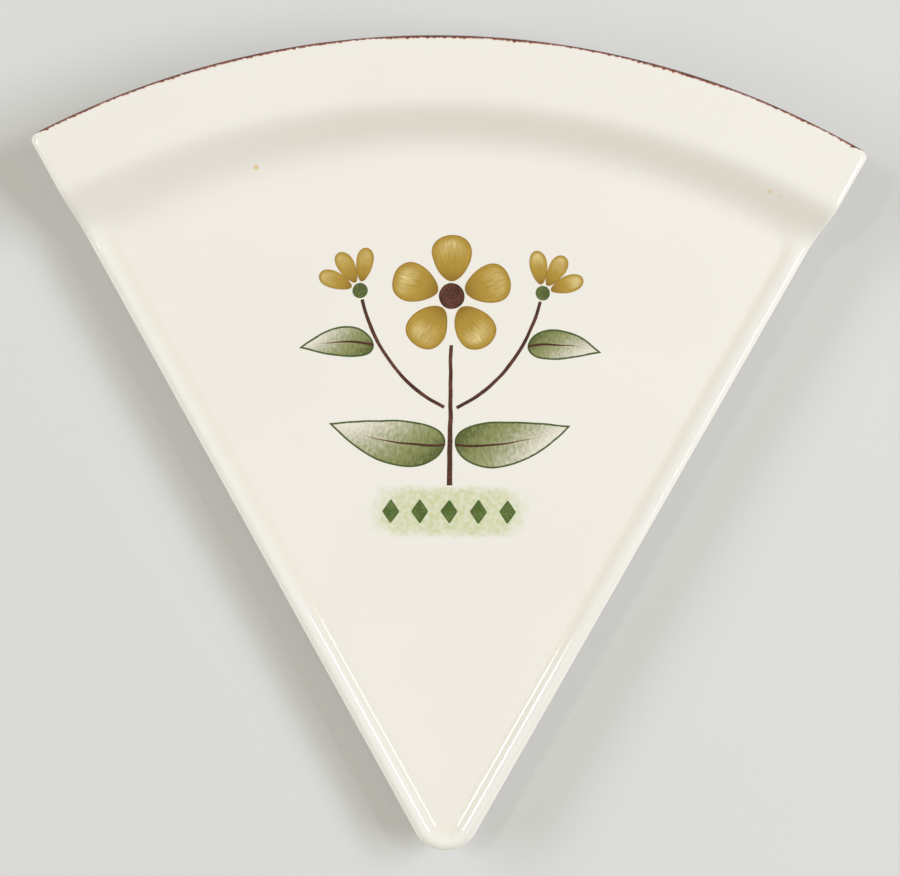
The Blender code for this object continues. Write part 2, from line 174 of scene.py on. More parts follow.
@dataclass(frozen=True)
class SliceForm:
    """The plate's shape: the slice's outlines and the heights of its two faces, in metres."""

    slice_angle: float = math.radians(58.9)
    plate_radius: float = 272.0 * MM
    band_depth: float = 0.6 * MM
    tip_radius: float = 11.1 * MM
    corner_radius: float = 2.4 * MM
    foot_height: float = 5.0 * MM
    floor_thickness: float = 6.3 * MM
    rim_rise: float = 10.6 * MM
    rim_thickness: float = 4.6 * MM
    underside_lift: float = 0.6 * MM
    rim_flat: float = 18.0 * MM
    slope_width: float = 24.0 * MM
    slope_skew: float = 1.4
    floor_corner_radius: float = 6.0 * MM
    lip_crest: float = 2.5 * MM
    lip_slope: float = 5.6 * MM
    lip_height: float = 1.9 * MM
    lip_runout: float = 16.0 * MM
    lip_flare: float = 1.2
    edge_lift: float = 0.7
    foot_side_inset: float = 15.0 * MM
    foot_behind_slope: float = 8.0 * MM
    foot_width: float = 5.0 * MM
    foot_tip_radius: float = 9.0 * MM
    foot_corner_radius: float = 12.0 * MM
    dry_foot_height: float = 1.2 * MM
    apron: float = 1.6 * MM
    climb_start: float = 1.15
    corner_clear: float = 2.0
    arc_crowding: float = 1.6
    tip_steps: int = 20
    side_steps: int = 56
    climb_steps: int = 48
    corner_steps: int = 14
    arc_steps: int = 92
    under_steps: int = 14
    edge_steps: int = 18
    top_steps: int = 40
    apron_steps: int = 4

    @property
    def half_angle(self) -> float:
        """Half the angle between the straight sides."""
        return self.slice_angle / 2

    @property
    def sine(self) -> float:
        """The sine of the half angle."""
        return math.sin(self.half_angle)

    @property
    def cosine(self) -> float:
        """The cosine of the half angle."""
        return math.cos(self.half_angle)

    @property
    def radius(self) -> float:
        """The glazed arc's radius about the apex."""
        return self.plate_radius - self.band_depth

    @property
    def apex(self) -> Vector:
        """The point where the straight sides would meet."""
        tip_cut = self.tip_radius / self.sine - self.tip_radius
        return Vector((0.0, -(self.plate_radius + tip_cut) / 2))

    @property
    def floor_top(self) -> float:
        """The height of the floor that the food lies on."""
        return self.foot_height + self.floor_thickness

    @property
    def slope_end(self) -> float:
        """How far in from the arc the floor starts."""
        return self.rim_flat + self.slope_width

    @property
    def lip_width(self) -> float:
        """How far in from the sides the floor starts."""
        return self.lip_crest + self.lip_slope

    @property
    def edge(self) -> Outline:
        """The outermost outline."""
        return Outline(0.0, 0.0, self.tip_radius, self.corner_radius)

    @property
    def crest(self) -> Outline:
        """The outline along the crest of the lip."""
        tip = self.tip_radius - self.lip_crest
        return Outline(self.lip_crest, self.lip_crest, tip, self.corner_radius)

    @property
    def floor_edge(self) -> Outline:
        """The outline of the flat floor."""
        tip = self.tip_radius - self.lip_width
        return Outline(self.lip_width, self.slope_end, tip, self.floor_corner_radius)

    @property
    def foot(self) -> Outline:
        """The outline of the foot ring's outer wall."""
        arc = self.slope_end + self.foot_behind_slope
        return Outline(self.foot_side_inset, arc, self.foot_tip_radius, self.foot_corner_radius)

    @property
    def stations(self) -> list[float]:
        """The places of the points along a side.

        Returns:
            Their distances from the apex, closer together on the climb to the rim.
        """
        start = self.tip_radius / math.tan(self.half_angle)
        climb = self.radius - self.climb_start * self.slope_end
        end = self.radius - self.lip_crest - self.corner_clear * self.corner_radius
        low = np.linspace(start, climb, self.side_steps, endpoint=False)
        high = np.linspace(climb, end, self.climb_steps)
        return [*low, *high]

    def right_half(self, outline: Outline) -> list[Vector]:
        """Gives the right half of a rounded slice.

        Args:
            outline: The outline to walk along.

        Returns:
            Plan points from the tip's lowest point to the arc's middle.
        """
        radius = self.radius - outline.arc
        along_side = Vector((self.sine, self.cosine))
        inwards = Vector((-self.cosine, self.sine))
        tip = self.apex + Vector((0.0, (outline.side + outline.tip) / self.sine))
        depth = outline.side + outline.corner
        start = (outline.side + outline.tip) / math.tan(self.half_angle)
        end = math.sqrt((radius - outline.corner) ** 2 - depth**2)
        corner = self.apex + along_side * end + inwards * depth
        turn = math.atan2(corner.y - self.apex.y, corner.x - self.apex.x)
        tip_turn = math.pi / 2 - self.half_angle
        corner_turn = turn + self.half_angle
        points = []
        for step in range(self.tip_steps):
            points.append(spread(tip, outline.tip, -math.pi / 2 + tip_turn * step / self.tip_steps))
        for station in self.stations:
            # Stations beyond this outline's own side fall together at its ends
            along = min(max(station, start), end)
            points.append(self.apex + along_side * along + inwards * outline.side)
        for step in range(self.corner_steps):
            angle = -self.half_angle + corner_turn * step / self.corner_steps
            points.append(spread(corner, outline.corner, angle))
        for step in range(self.arc_steps + 1):
            # Steps shorten towards the corner
            share = (step / self.arc_steps) ** self.arc_crowding
            points.append(spread(self.apex, radius, turn + (math.pi / 2 - turn) * share))
        return points

    def plan_points(self, outline: Outline) -> list[Vector]:
        """Gives a rounded slice anticlockwise, starting at the tip.

        Args:
            outline: The outline to walk along.

        Returns:
            The plan points all round.
        """
        right = self.right_half(outline)
        left = [Vector((-point.x, point.y)) for point in reversed(right[1:-1])]
        return right + left

    def from_side(self, point: Vector) -> float:
        """Gives how far a point lies in from the nearer straight side, or from the rounded tip.

        Args:
            point: The point on the plan.

        Returns:
            The distance, less than 0 outside the slice.
        """
        to_tip = point - self.apex - Vector((0.0, self.tip_radius / self.sine))
        if to_tip.y < 0 and abs(to_tip.x) * self.sine < -to_tip.y * self.cosine:
            return self.tip_radius - to_tip.length
        to_apex = point - self.apex
        return to_apex.y * self.sine - abs(to_apex.x) * self.cosine

    def from_arc(self, point: Vector) -> float:
        """Gives how far a point lies in from the arc's edge."""
        return self.radius - (point - self.apex).length

    def rim_share(self, point: Vector) -> float:
        """Gives 0 on the floor and 1 on the flat of the rim."""
        climb = (self.slope_end - self.from_arc(point)) / self.slope_width
        return steep_ease(max(climb, 0.0) ** self.slope_skew)

    def lip_share(self, point: Vector) -> float:
        """Gives 1 beside the floor and 0 where the lip has run out."""
        return ease((self.from_arc(point) - self.slope_end) / self.lip_runout + 1)

    def top_height(self, point: Vector) -> float:
        """Gives the height of the glazed top.

        Args:
            point: The point on the plan.

        Returns:
            The height of the floor, slope, rim or lip there.
        """
        lip = self.lip_share(point)
        width = self.lip_slope * (1 + self.lip_flare * (1 - lip))
        fall = ease((self.from_side(point) - self.lip_crest) / width)
        rim = self.rim_rise * self.rim_share(point)
        return self.floor_top + rim + self.lip_height * lip * (1 - fall)

    def under_height(self, point: Vector) -> float:
        """Gives the height of the glazed underside.

        Args:
            point: The point on the plan.

        Returns:
            The height of the plate's lower face there.
        """
        share = self.rim_share(point)
        wall = self.floor_thickness + (self.rim_thickness - self.floor_thickness) * share
        width = self.foot_side_inset - self.lip_crest
        fall = ease((self.from_side(point) - self.lip_crest) / width)
        return self.floor_top + self.rim_rise * share - wall + self.underside_lift * (1 - fall)

    def ring(self, outline: Outline, share: float, depth: float = 0.0) -> list[Vector]:
        """Gives a closed row of points on the plate's skin.

        Args:
            outline: The outline that the row follows.
            share: How far up the row lies, from 0 on the underside to 1 on top.
            depth: How far the row lies inside the skin.

        Returns:
            The row's points, anticlockwise from the tip.
        """
        row = []
        inner = self.plan_points(outline.inset(depth))
        for point, place in zip(self.plan_points(outline), inner):
            low = self.under_height(point) + depth
            high = self.top_height(point) - depth
            row.append(Vector((place.x, place.y, low + (high - low) * share)))
        return row

    def edge_ring(self, angle: float, depth: float = 0.0) -> list[Vector]:
        """Gives the row at an angle on the half ellipse that rounds the outer edge."""
        share = ((1 + math.sin(angle)) / 2) ** self.edge_lift
        return self.ring(self.edge.mix(self.crest, 1 - math.cos(angle)), share, depth)

    def level_ring(self, outline: Outline, height: float) -> list[Vector]:
        """Gives a closed row of points at one height."""
        return [Vector((point.x, point.y, height)) for point in self.plan_points(outline)]

    def skin_rows(self, depth: float = 0.0) -> list[list[Vector]]:
        """Gives the rows of the skin, from the foot out, over the edge and in to the floor.

        Args:
            depth: How far the rows lie inside the skin.

        Returns:
            The closed rows, which all have as many points.
        """
        rows = []
        for step in range(self.under_steps):
            outline = self.foot.mix(self.crest, step / self.under_steps)
            rows.append(self.ring(outline, 0.0, depth))
        for step in range(self.edge_steps):
            rows.append(self.edge_ring(math.pi * (step / self.edge_steps - 0.5), depth))
        for step in range(self.top_steps + 1):
            outline = self.crest.mix(self.floor_edge, step / self.top_steps)
            rows.append(self.ring(outline, 1.0, depth))
        for step in range(1, self.apron_steps + 1):
            inner = self.floor_edge.inset(self.apron * step / self.apron_steps)
            rows.append(self.ring(inner, 1.0, depth))
        return rows


class NodeSketch:
    """The nodes of one material in the making."""

    def __init__(self, name: str) -> None:
        """Starts a material with its Principled shader.

        Args:
            name: The new material's name.
        """
        self.material = bpy.data.materials.new(name)
        self.material.use_nodes = True
        self.tree = self.material.node_tree
        self.shader = self.tree.nodes["Principled BSDF"]

    def add(self, kind: str, **settings: object) -> bpy.types.Node:
        """Adds a node with its settings.

        Args:
            kind: The node's type.
            **settings: Its properties and their values.

        Returns:
            The new node.
        """
        node = self.tree.nodes.new(kind)
        for name, value in settings.items():
            setattr(node, name, value)
        return node

    def feed(self, target: Socket, value: object) -> None:
        """Links a socket to an input, or sets the input's own value.

        Args:
            target: The input.
            value: A socket to link, or a number, colour or vector.
        """
        if isinstance(value, Socket):
            self.tree.links.new(value, target)
        elif isinstance(value, tuple) and target.type == "RGBA":
            target.default_value = (*value, 1.0)
        else:
            target.default_value = value

    def place(self) -> Socket:
        """Gives the piece's own coordinates, in metres."""
        return self.add("ShaderNodeTexCoord").outputs["Object"]

    def brush_way(self) -> Socket:
        """Gives the piece's map: along the brush stroke first, then across it."""
        return self.add("ShaderNodeTexCoord").outputs["UV"]

    def measure(self, name: str) -> Socket:
        """Gives a number that the piece's mesh carries."""
        return self.add("ShaderNodeAttribute", attribute_name=name).outputs["Fac"]

    def stretch(self, vector: Socket, scale: Triple) -> Socket:
        """Scales a vector by an amount for each axis.

        Args:
            vector: The vector.
            scale: The amount for each axis.

        Returns:
            The scaled vector.
        """
        mapping = self.add("ShaderNodeMapping")
        self.feed(mapping.inputs["Vector"], vector)
        mapping.inputs["Scale"].default_value = scale
        return mapping.outputs["Vector"]

    def noise(self, vector: Socket, scale: float, detail: Detail = Detail.SOFT) -> Socket:
        """Gives cloudy values round 0.5.

        Args:
            vector: Where the pattern is read.
            scale: How fine the clouds are.
            detail: How much finer detail they have.

        Returns:
            The cloudy value.
        """
        cloud = self.add("ShaderNodeTexNoise")
        self.feed(cloud.inputs["Vector"], vector)
        cloud.inputs["Scale"].default_value = scale
        cloud.inputs["Detail"].default_value = detail.value
        return cloud.outputs[0]

    def bristles(self, stretch: Triple, detail: Detail) -> Socket:
        """Gives cloudy values drawn out along or across the brush stroke."""
        return self.noise(self.stretch(self.brush_way(), stretch), 1.0, detail)

    def span(self, value: Socket, low: float, high: float, start: float = 0.0,
             end: float = 1.0) -> Socket:
        """Gives a smooth step of a value.

        Args:
            value: The value to read.
            low: Where the step starts.
            high: Where the step ends.
            start: The result below low.
            end: The result above high.

        Returns:
            The stepped value.
        """
        step = self.add("ShaderNodeMapRange", interpolation_type="SMOOTHSTEP")
        self.feed(step.inputs["Value"], value)
        numbers = {"From Min": low, "From Max": high, "To Min": start, "To Max": end}
        for name, number in numbers.items():
            step.inputs[name].default_value = number
        return step.outputs["Result"]

    def math(self, operation: str, first: object, second: object) -> Socket:
        """Gives the result of a sum on two values.

        Args:
            operation: The sum's name.
            first: A socket or a number.
            second: A socket or a number.

        Returns:
            The result.
        """
        node = self.add("ShaderNodeMath", operation=operation)
        self.feed(node.inputs[0], first)
        self.feed(node.inputs[1], second)
        return node.outputs["Value"]

    def plus(self, first: Socket, second: Socket, weight: float) -> Socket:
        """Gives the first value with a weight of the second added."""
        return self.math("ADD", first, self.math("MULTIPLY", second, weight))

    def frayed_edge(self, scale: float, amount: float) -> Socket:
        """Gives the distance to a painted shape's border, roughened by an amount."""
        return self.plus(self.measure("edge"), self.noise(self.place(), scale), amount)

    def part(self, vector: Socket, axis: str) -> Socket:
        """Gives one coordinate of a vector.

        Args:
            vector: The vector.
            axis: X, Y or Z.

        Returns:
            The coordinate.
        """
        split = self.add("ShaderNodeSeparateXYZ")
        self.feed(split.inputs["Vector"], vector)
        return split.outputs[axis]

    def mix(self, share: object, first: object, second: object) -> Socket:
        """Gives a colour that lies a share of the way from the first to the second.

        Args:
            share: How far towards the second.
            first: A socket or a colour.
            second: A socket or a colour.

        Returns:
            The mixed colour.
        """
        node = self.add("ShaderNodeMix", data_type="RGBA")
        self.feed(node.inputs[0], share)
        self.feed(node.inputs[MIX_FIRST], first)
        self.feed(node.inputs[MIX_SECOND], second)
        return node.outputs[MIX_RESULT]

    def far_from(self, vector: Socket, spot: Triple) -> Socket:
        """Gives the distance to a spot.

        Args:
            vector: The place.
            spot: The spot.

        Returns:
            The distance in metres.
        """
        node = self.add("ShaderNodeVectorMath", operation="DISTANCE")
        self.feed(node.inputs[0], vector)
        node.inputs[1].default_value = spot
        return node.outputs["Value"]

    def gloss(self, roughness: float, colour: object) -> None:
        """Sets the shader's colour and its even gloss.

        Args:
            roughness: From 0 for a mirror to 1 for chalk.
            colour: A socket or a colour.
        """
        self.feed(self.shader.inputs["Base Color"], colour)
        self.shader.inputs["Roughness"].default_value = roughness
        self.shader.inputs["IOR"].default_value = GLAZE_IOR

    def relief(self, height: Socket, distance: float) -> None:
        """Raises the surface by a height map, in metres.

        Args:
            height: The height map, from 0 to 1.
            distance: The height of 1.
        """
        bump = self.add("ShaderNodeBump")
        bump.inputs["Distance"].default_value = distance
        self.feed(bump.inputs["Height"], height)
        self.feed(self.shader.inputs["Normal"], bump.outputs["Normal"])


class Finish(ABC):
    """What a surface looks like, and the slot that it belongs to."""

    slot: Slot

    @abstractmethod
    def material(self) -> bpy.types.Material:
        """Makes the finish's material."""


@dataclass(frozen=True)
class CreamGlaze(Finish):
    """Glossy cream glaze with soft clouds, a few iron specks and a sponged green ground.

    The mesh says where the glaze ran thin over a crest, and where it gathered thick and yellower at
    the lip's foot, which is also darkened there as painted shade in the crease.
    """

    colour: Colour = (0.866, 0.836, 0.776)
    cloud: Colour = (0.852, 0.822, 0.756)
    cloud_scale: float = 14.0
    cloud_span: Span = (0.35, 0.7)
    thinned: Colour = (0.877, 0.852, 0.808)
    # Yellower glaze gathered at the lip's foot, a little darker as painted shade in that crease
    pooled_and_shaded: Colour = (0.854, 0.818, 0.727)
    speck: Colour = (0.76, 0.58, 0.15)
    speck_spots: tuple[tuple[Triple, float], ...] = (
        ((-0.0631, 0.0878, 0.0123), 0.8),
        ((0.1018, 0.0823, 0.0185), 0.45),
        ((0.1049, 0.0810, 0.0185), 0.2),
    )
    speck_span: Span = (0.3 * MM, 1.2 * MM)
    roughness: float = 0.09
    ripple_scale: float = 55.0
    ripple_height: float = 0.01 * MM
    ground: Colour = (0.60, 0.64, 0.36)
    ground_centre: Triple = (0.0, 0.0, 0.0)
    ground_reach: Size = (0.0, 0.0)
    ground_power: float = 4.0
    ground_span: Span = (0.55, 1.45)
    fray_scale: float = 260.0
    pore_scale: float = 620.0
    pore_span: Span = (0.3, 0.68)
    pore_cover: float = 0.45
    slot: Slot = Slot.CREAM

    def tint(self, sketch: NodeSketch) -> Socket:
        """Gives the glaze's colour over the plate.

        Args:
            sketch: The material in the making.

        Returns:
            The colour.
        """
        place = sketch.place()
        clouds = sketch.noise(place, self.cloud_scale, Detail.CLOUDY)
        tint = sketch.mix(sketch.span(clouds, *self.cloud_span), self.colour, self.cloud)
        # Glaze gathered at the lip's foot: yellower, and darkened as painted shade in the crease
        tint = sketch.mix(sketch.measure("pool"), tint, self.pooled_and_shaded)
        tint = sketch.mix(sketch.measure("thin"), tint, self.thinned)
        for spot, strength in self.speck_spots:
            near = sketch.span(sketch.far_from(place, spot), *self.speck_span, strength, 0.0)
            tint = sketch.mix(near, tint, self.speck)
        return tint

    def sponged(self, sketch: NodeSketch, tint: Socket) -> Socket:
        """Lays the sponged ground over a tint.

        Args:
            sketch: The material in the making.
            tint: The glaze's own colour.

        Returns:
            The colour with the ground on it.
        """
        place = sketch.place()
        mapping = sketch.add("ShaderNodeMapping", vector_type="TEXTURE")
        sketch.feed(mapping.inputs["Vector"], place)
        mapping.inputs["Location"].default_value = self.ground_centre
        mapping.inputs["Scale"].default_value = (*self.ground_reach, 1.0)
        powers = []
        for axis in ("X", "Y"):
            size = sketch.math("ABSOLUTE", sketch.part(mapping.outputs["Vector"], axis), 0.0)
            powers.append(sketch.math("POWER", size, self.ground_power))
        fray = sketch.noise(place, self.fray_scale, Detail.CRISP)
        frayed = sketch.math("ADD", sketch.math("ADD", *powers), fray)
        body = sketch.span(frayed, *self.ground_span, 1.0, 0.0)
        pores = sketch.noise(place, self.pore_scale, Detail.CLOUDY)
        cover = sketch.span(pores, *self.pore_span, self.pore_cover, 1.0)
        return sketch.mix(sketch.math("MULTIPLY", body, cover), tint, self.ground)

    def material(self) -> bpy.types.Material:
        """Makes the glaze.

        Returns:
            The material, with the ground where it has a reach.
        """
        sketch = NodeSketch("cream glaze")
        tint = self.tint(sketch)
        if min(self.ground_reach) > 0:
            tint = self.sponged(sketch, tint)
        sketch.gloss(self.roughness, tint)
        ripples = sketch.noise(sketch.place(), self.ripple_scale, Detail.CLOUDY)
        sketch.relief(ripples, self.ripple_height)
        return sketch.material


@dataclass(frozen=True)
class BareClay(Finish):
    """Dry fired clay with sandy grains."""

    colour: Colour = (0.70, 0.59, 0.46)
    dark: Colour = (0.52, 0.40, 0.28)
    pale: Colour = (0.80, 0.72, 0.61)
    cloud_scale: float = 45.0
    cloud_span: Span = (0.3, 0.7)
    grain_scale: float = 1400.0
    grain_span: Span = (0.58, 0.72)
    grain_height: float = 0.2 * MM
    roughness: float = 0.85
    slot: Slot = Slot.CLAY

    def material(self) -> bpy.types.Material:
        """Makes the clay.

        Returns:
            The material.
        """
        sketch = NodeSketch("bare clay")
        place = sketch.place()
        clouds = sketch.noise(place, self.cloud_scale, Detail.CLOUDY)
        cloudy = sketch.mix(sketch.span(clouds, *self.cloud_span), self.colour, self.pale)
        grain = sketch.noise(place, self.grain_scale, Detail.CLOUDY)
        sandy = sketch.mix(sketch.span(grain, *self.grain_span), cloudy, self.dark)
        sketch.gloss(self.roughness, sandy)
        sketch.relief(grain, self.grain_height)
        return sketch.material


@dataclass(frozen=True)
class RustBrush(Finish):
    """Dry-brushed iron brown: dark at the core, red and thin where the brush ran dry."""

    dark: Colour = (0.080, 0.015, 0.008)
    red: Colour = (0.40, 0.115, 0.065)
    cream: Colour = (0.86, 0.79, 0.70)
    streak_stretch: Triple = (240.0, 5.0, 1.0)
    streak_weight: float = 0.55
    worn_span: Span = (1.17, 1.42)
    patch_stretch: Triple = (38.0, 1.0, 1.0)
    patch_weight: float = 0.45
    dry_span: Span = (0.95, 1.26)
    roughness: float = 0.3
    slot: Slot = Slot.RUST

    def material(self) -> bpy.types.Material:
        """Makes the brushed colour.

        Returns:
            The material.
        """
        sketch = NodeSketch("rust brush")
        across = sketch.part(sketch.brush_way(), "Y")
        streaks = sketch.bristles(self.streak_stretch, Detail.CLOUDY)
        patches = sketch.bristles(self.patch_stretch, Detail.CLOUDY)
        dry = sketch.plus(across, patches, self.patch_weight)
        body = sketch.mix(sketch.span(dry, *self.dry_span), self.dark, self.red)
        worn = sketch.plus(across, streaks, self.streak_weight)
        brushed = sketch.mix(sketch.span(worn, *self.worn_span), body, self.cream)
        sketch.gloss(self.roughness, brushed)
        return sketch.material


@dataclass(frozen=True)
class GoldPaint(Finish):
    """Ochre-gold petal paint: streaked along the petal, dark at the foot, with a pale glow."""

    gold: Colour = (0.47, 0.30, 0.045)
    deep: Colour = (0.25, 0.14, 0.016)
    foot_span: Span = (0.02, 0.5)
    streak_stretch: Triple = (5.0, 34.0, 1.0)
    streak_span: Span = (0.42, 0.75)
    streak_share: float = 0.5
    glow: Colour = (0.76, 0.62, 0.27)
    glow_depth: float = 1.5 * MM
    glow_edges: Span = (0.4, 2.0)
    glow_span: Span = (0.4, 0.72)
    cloud_scale: float = 160.0
    cover_span: Span = (0.7, 1.15)
    cover_least: float = 0.25
    line: Colour = (0.32, 0.18, 0.022)
    line_width: float = 0.5 * MM
    line_edges: Span = (0.7, 1.5)
    line_share: float = 0.85
    fray_scale: float = 900.0
    fray: float = 0.3 * MM
    roughness: float = 0.1
    slot: Slot = Slot.GOLD

    def glowing(self, sketch: NodeSketch, along: Socket, streaks: Socket) -> Socket:
        """Gives how strongly the pale glow shows.

        Args:
            sketch: The material in the making.
            along: The share of the petal's length.
            streaks: The brush's streaks.

        Returns:
            The strength, from 0 to 1.
        """
        depths = (self.glow_depth * share for share in self.glow_edges)
        inside = sketch.span(sketch.measure("edge"), *depths)
        lit = sketch.math("MULTIPLY", inside, sketch.span(along, *self.glow_span))
        clouds = sketch.noise(sketch.place(), self.cloud_scale)
        load = sketch.math("ADD", streaks, clouds)
        cover = sketch.span(load, *self.cover_span, 1.0, self.cover_least)
        return sketch.math("MULTIPLY", lit, cover)

    def material(self) -> bpy.types.Material:
        """Makes the petal paint.

        Returns:
            The material.
        """
        sketch = NodeSketch("gold paint")
        along = sketch.part(sketch.brush_way(), "X")
        streaks = sketch.bristles(self.streak_stretch, Detail.CRISP)
        body = sketch.mix(sketch.span(along, *self.foot_span), self.deep, self.gold)
        dragged = sketch.span(streaks, *self.streak_span, 0.0, self.streak_share)
        body = sketch.mix(dragged, body, self.deep)
        body = sketch.mix(self.glowing(sketch, along, streaks), body, self.glow)
        widths = (self.line_width * share for share in self.line_edges)
        border = sketch.frayed_edge(self.fray_scale, self.fray)
        drawn = sketch.span(border, *widths, self.line_share, 0.0)
        sketch.gloss(self.roughness, sketch.mix(drawn, body, self.line))
        return sketch.material


@dataclass(frozen=True)
class LeafPaint(Finish):
    """Green leaf paint: a drawn outline, a wash that fades to cream and a brown rib."""

    deep: Colour = (0.10, 0.12, 0.034)
    wash: Colour = (0.26, 0.28, 0.11)
    bare: Colour = (0.80, 0.765, 0.655)
    hatch_stretch: Triple = (60.0, 7.0, 1.0)
    hatch_weight: float = 0.5
    lean: float = -0.28
    wash_span: Span = (0.15, 0.5)
    bare_span: Span = (0.42, 0.95)
    line: Colour = (0.062, 0.10, 0.024)
    line_width: float = 0.6 * MM
    line_edges: Span = (1.0, 1.5)
    fray_scale: float = 700.0
    fray: float = 0.35 * MM
    rib: Colour = (0.07, 0.022, 0.012)
    rib_end: Colour = (0.28, 0.11, 0.07)
    rib_end_span: Span = (0.4, 0.75)
    rib_width: float = 0.42 * MM
    rib_taper: Span = (0.25, 0.78)
    rib_edges: Span = (-0.12 * MM, 0.06 * MM)
    roughness: float = 0.1
    slot: Slot = Slot.GREEN

    def washed(self, sketch: NodeSketch, along: Socket, across: Socket) -> Socket:
        """Gives the wash, which fades towards the leaf's point and one side.

        Args:
            sketch: The material in the making.
            along: The share of the leaf's length.
            across: The share of its width.

        Returns:
            The colour.
        """
        hatch = sketch.bristles(self.hatch_stretch, Detail.CRISP)
        fade = sketch.plus(sketch.plus(along, hatch, self.hatch_weight), across, self.lean)
        wash = sketch.mix(sketch.span(fade, *self.wash_span), self.deep, self.wash)
        return sketch.mix(sketch.span(fade, *self.bare_span), wash, self.bare)

    def material(self) -> bpy.types.Material:
        """Makes the leaf paint.

        Returns:
            The material.
        """
        sketch = NodeSketch("leaf paint")
        way = sketch.brush_way()
        along = sketch.part(way, "X")
        wash = self.washed(sketch, along, sketch.part(way, "Y"))
        widths = (self.line_width * share for share in self.line_edges)
        border = sketch.frayed_edge(self.fray_scale, self.fray)
        drawn = sketch.mix(sketch.span(border, *widths, 1.0, 0.0), wash, self.line)
        taper = sketch.span(along, *self.rib_taper, self.rib_width, 0.0)
        from_rib = sketch.math("SUBTRACT", sketch.measure("rib"), taper)
        vein = sketch.span(from_rib, *self.rib_edges, 1.0, 0.0)
        brown = sketch.mix(sketch.span(along, *self.rib_end_span), self.rib, self.rib_end)
        sketch.gloss(self.roughness, sketch.mix(vein, drawn, brown))
        return sketch.material


@dataclass(frozen=True)
class StrokePaint(Finish):
    """One brush colour, thicker and darker in places as a loaded brush leaves it."""

    name: str
    dark: Colour
    thin: Colour
    slot: Slot
    load_scale: float = 240.0
    grain_scale: float = 1500.0
    load_span: Span = (0.85, 1.3)
    edge_width: float = 0.3 * MM
    edge_load: float = 0.12
    roughness: float = 0.1

    def material(self) -> bpy.types.Material:
        """Makes the stroke's paint.

        Returns:
            The material.
        """
        sketch = NodeSketch(self.name)
        place = sketch.place()
        clouds = sketch.noise(place, self.load_scale, Detail.CLOUDY)
        load = sketch.math("ADD", clouds, sketch.noise(place, self.grain_scale))
        edge = sketch.span(sketch.measure("edge"), 0.0, self.edge_width, self.edge_load, 0.0)
        dry = sketch.span(sketch.math("SUBTRACT", load, edge), *self.load_span)
        sketch.gloss(self.roughness, sketch.mix(dry, self.dark, self.thin))
        return sketch.material


@dataclass(frozen=True)
class Piece:
    """A finished mesh, with its finish and the solids that it stands for."""

    made: bpy.types.Object
    finish: Finish
    nodes: tuple[str, ...] = ()

    def seat(self, materials: dict[Finish, bpy.types.Material]) -> None:
        """Dresses the piece and ties it to the plate.

        Args:
            materials: The materials made so far, one for each finish.
        """
        if self.finish not in materials:
            materials[self.finish] = self.finish.material()
        self.made.data.materials.clear()
        self.made.data.materials.append(materials[self.finish])
        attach(self.made, BODY)
        if self.nodes:
            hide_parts(*self.nodes)
        faces = len(self.made.data.polygons)
        log.info("%s: %d faces, %s", self.made.name, faces, self.finish.slot.value)


def start_fresh() -> None:
    """Deselects everything, so that the next operator acts on its own piece only."""
    bpy.ops.object.select_all(action="DESELECT")


@contextmanager
def editing(everything: bool = True) -> Iterator[None]:
    """Opens the active piece in edit mode for a while.

    Args:
        everything: Whether all of the piece is selected first.

    Yields:
        Nothing, while the piece is open.
    """
    bpy.ops.object.mode_set(mode="EDIT")
    if everything:
        bpy.ops.mesh.select_all(action="SELECT")
    yield
    bpy.ops.object.mode_set(mode="OBJECT")


def name_new(name: str) -> bpy.types.Object:
    """Names the primitive that was just added.

    Args:
        name: The name for the object and its mesh.

    Returns:
        The primitive.
    """
    made = bpy.context.object
    made.name = name
    made.data.name = name
    return made


def wrap_grid(name: str, columns: int, rows: int, place: Placer) -> bpy.types.Object:
    """Adds a grid and wraps it to a surface.

    Args:
        name: The new piece's name.
        columns: Faces along the first way.
        rows: Faces along the second way.
        place: Gives the point for two shares from 0 to 1.

    Returns:
        The wrapped sheet, with its map running along both ways.
    """
    start_fresh()
    bpy.ops.mesh.primitive_grid_add(x_subdivisions=columns, y_subdivisions=rows, size=2.0)
    sheet = name_new(name)
    for vert in sheet.data.vertices:
        vert.co = place((vert.co.x + 1) / 2, (vert.co.y + 1) / 2)
    sheet.data.update()
    return sheet


def wrap_rings(name: str, rings: Sequence[Sequence[Vector]]) -> bpy.types.Object:
    """Wraps a grid round closed rows of points and welds its seam.

    Args:
        name: The new piece's name.
        rings: The rows, which all have as many points.

    Returns:
        The welded tube, open at both ends.
    """
    count = len(rings[0])
    last = len(rings) - 1

    def place(along: float, up: float) -> Vector:
        """Gives the row's point at two shares."""
        return rings[round(up * last)][round(along * count) % count]

    sheet = wrap_grid(name, count, last, place)
    weld()
    return sheet


def weld() -> None:
    """Merges the active piece's points that lie on each other."""
    with editing():
        bpy.ops.mesh.remove_doubles(threshold=WELD_GAP)


def flip() -> None:
    """Turns the active piece's faces round."""
    with editing():
        bpy.ops.mesh.flip_normals()


def cap(piece: bpy.types.Object, height: float) -> None:
    """Closes the open border that lies at a height with one flat face.

    Args:
        piece: The piece, which is the active one.
        height: The height of the border.
    """
    with editing(everything=False):
        bpy.ops.mesh.select_mode(type="VERT")
        bpy.ops.mesh.select_all(action="DESELECT")
        bpy.ops.mesh.select_non_manifold()
    for vert in piece.data.vertices:
        vert.select = vert.select and abs(vert.co.z - height) < LEVEL_GAP
    for edge in piece.data.edges:
        edge.select = all(piece.data.vertices[index].select for index in edge.vertices)
    with editing(everything=False):
        bpy.ops.mesh.edge_face_add()
        bpy.ops.mesh.select_all(action="SELECT")
        bpy.ops.mesh.normals_make_consistent(inside=False)


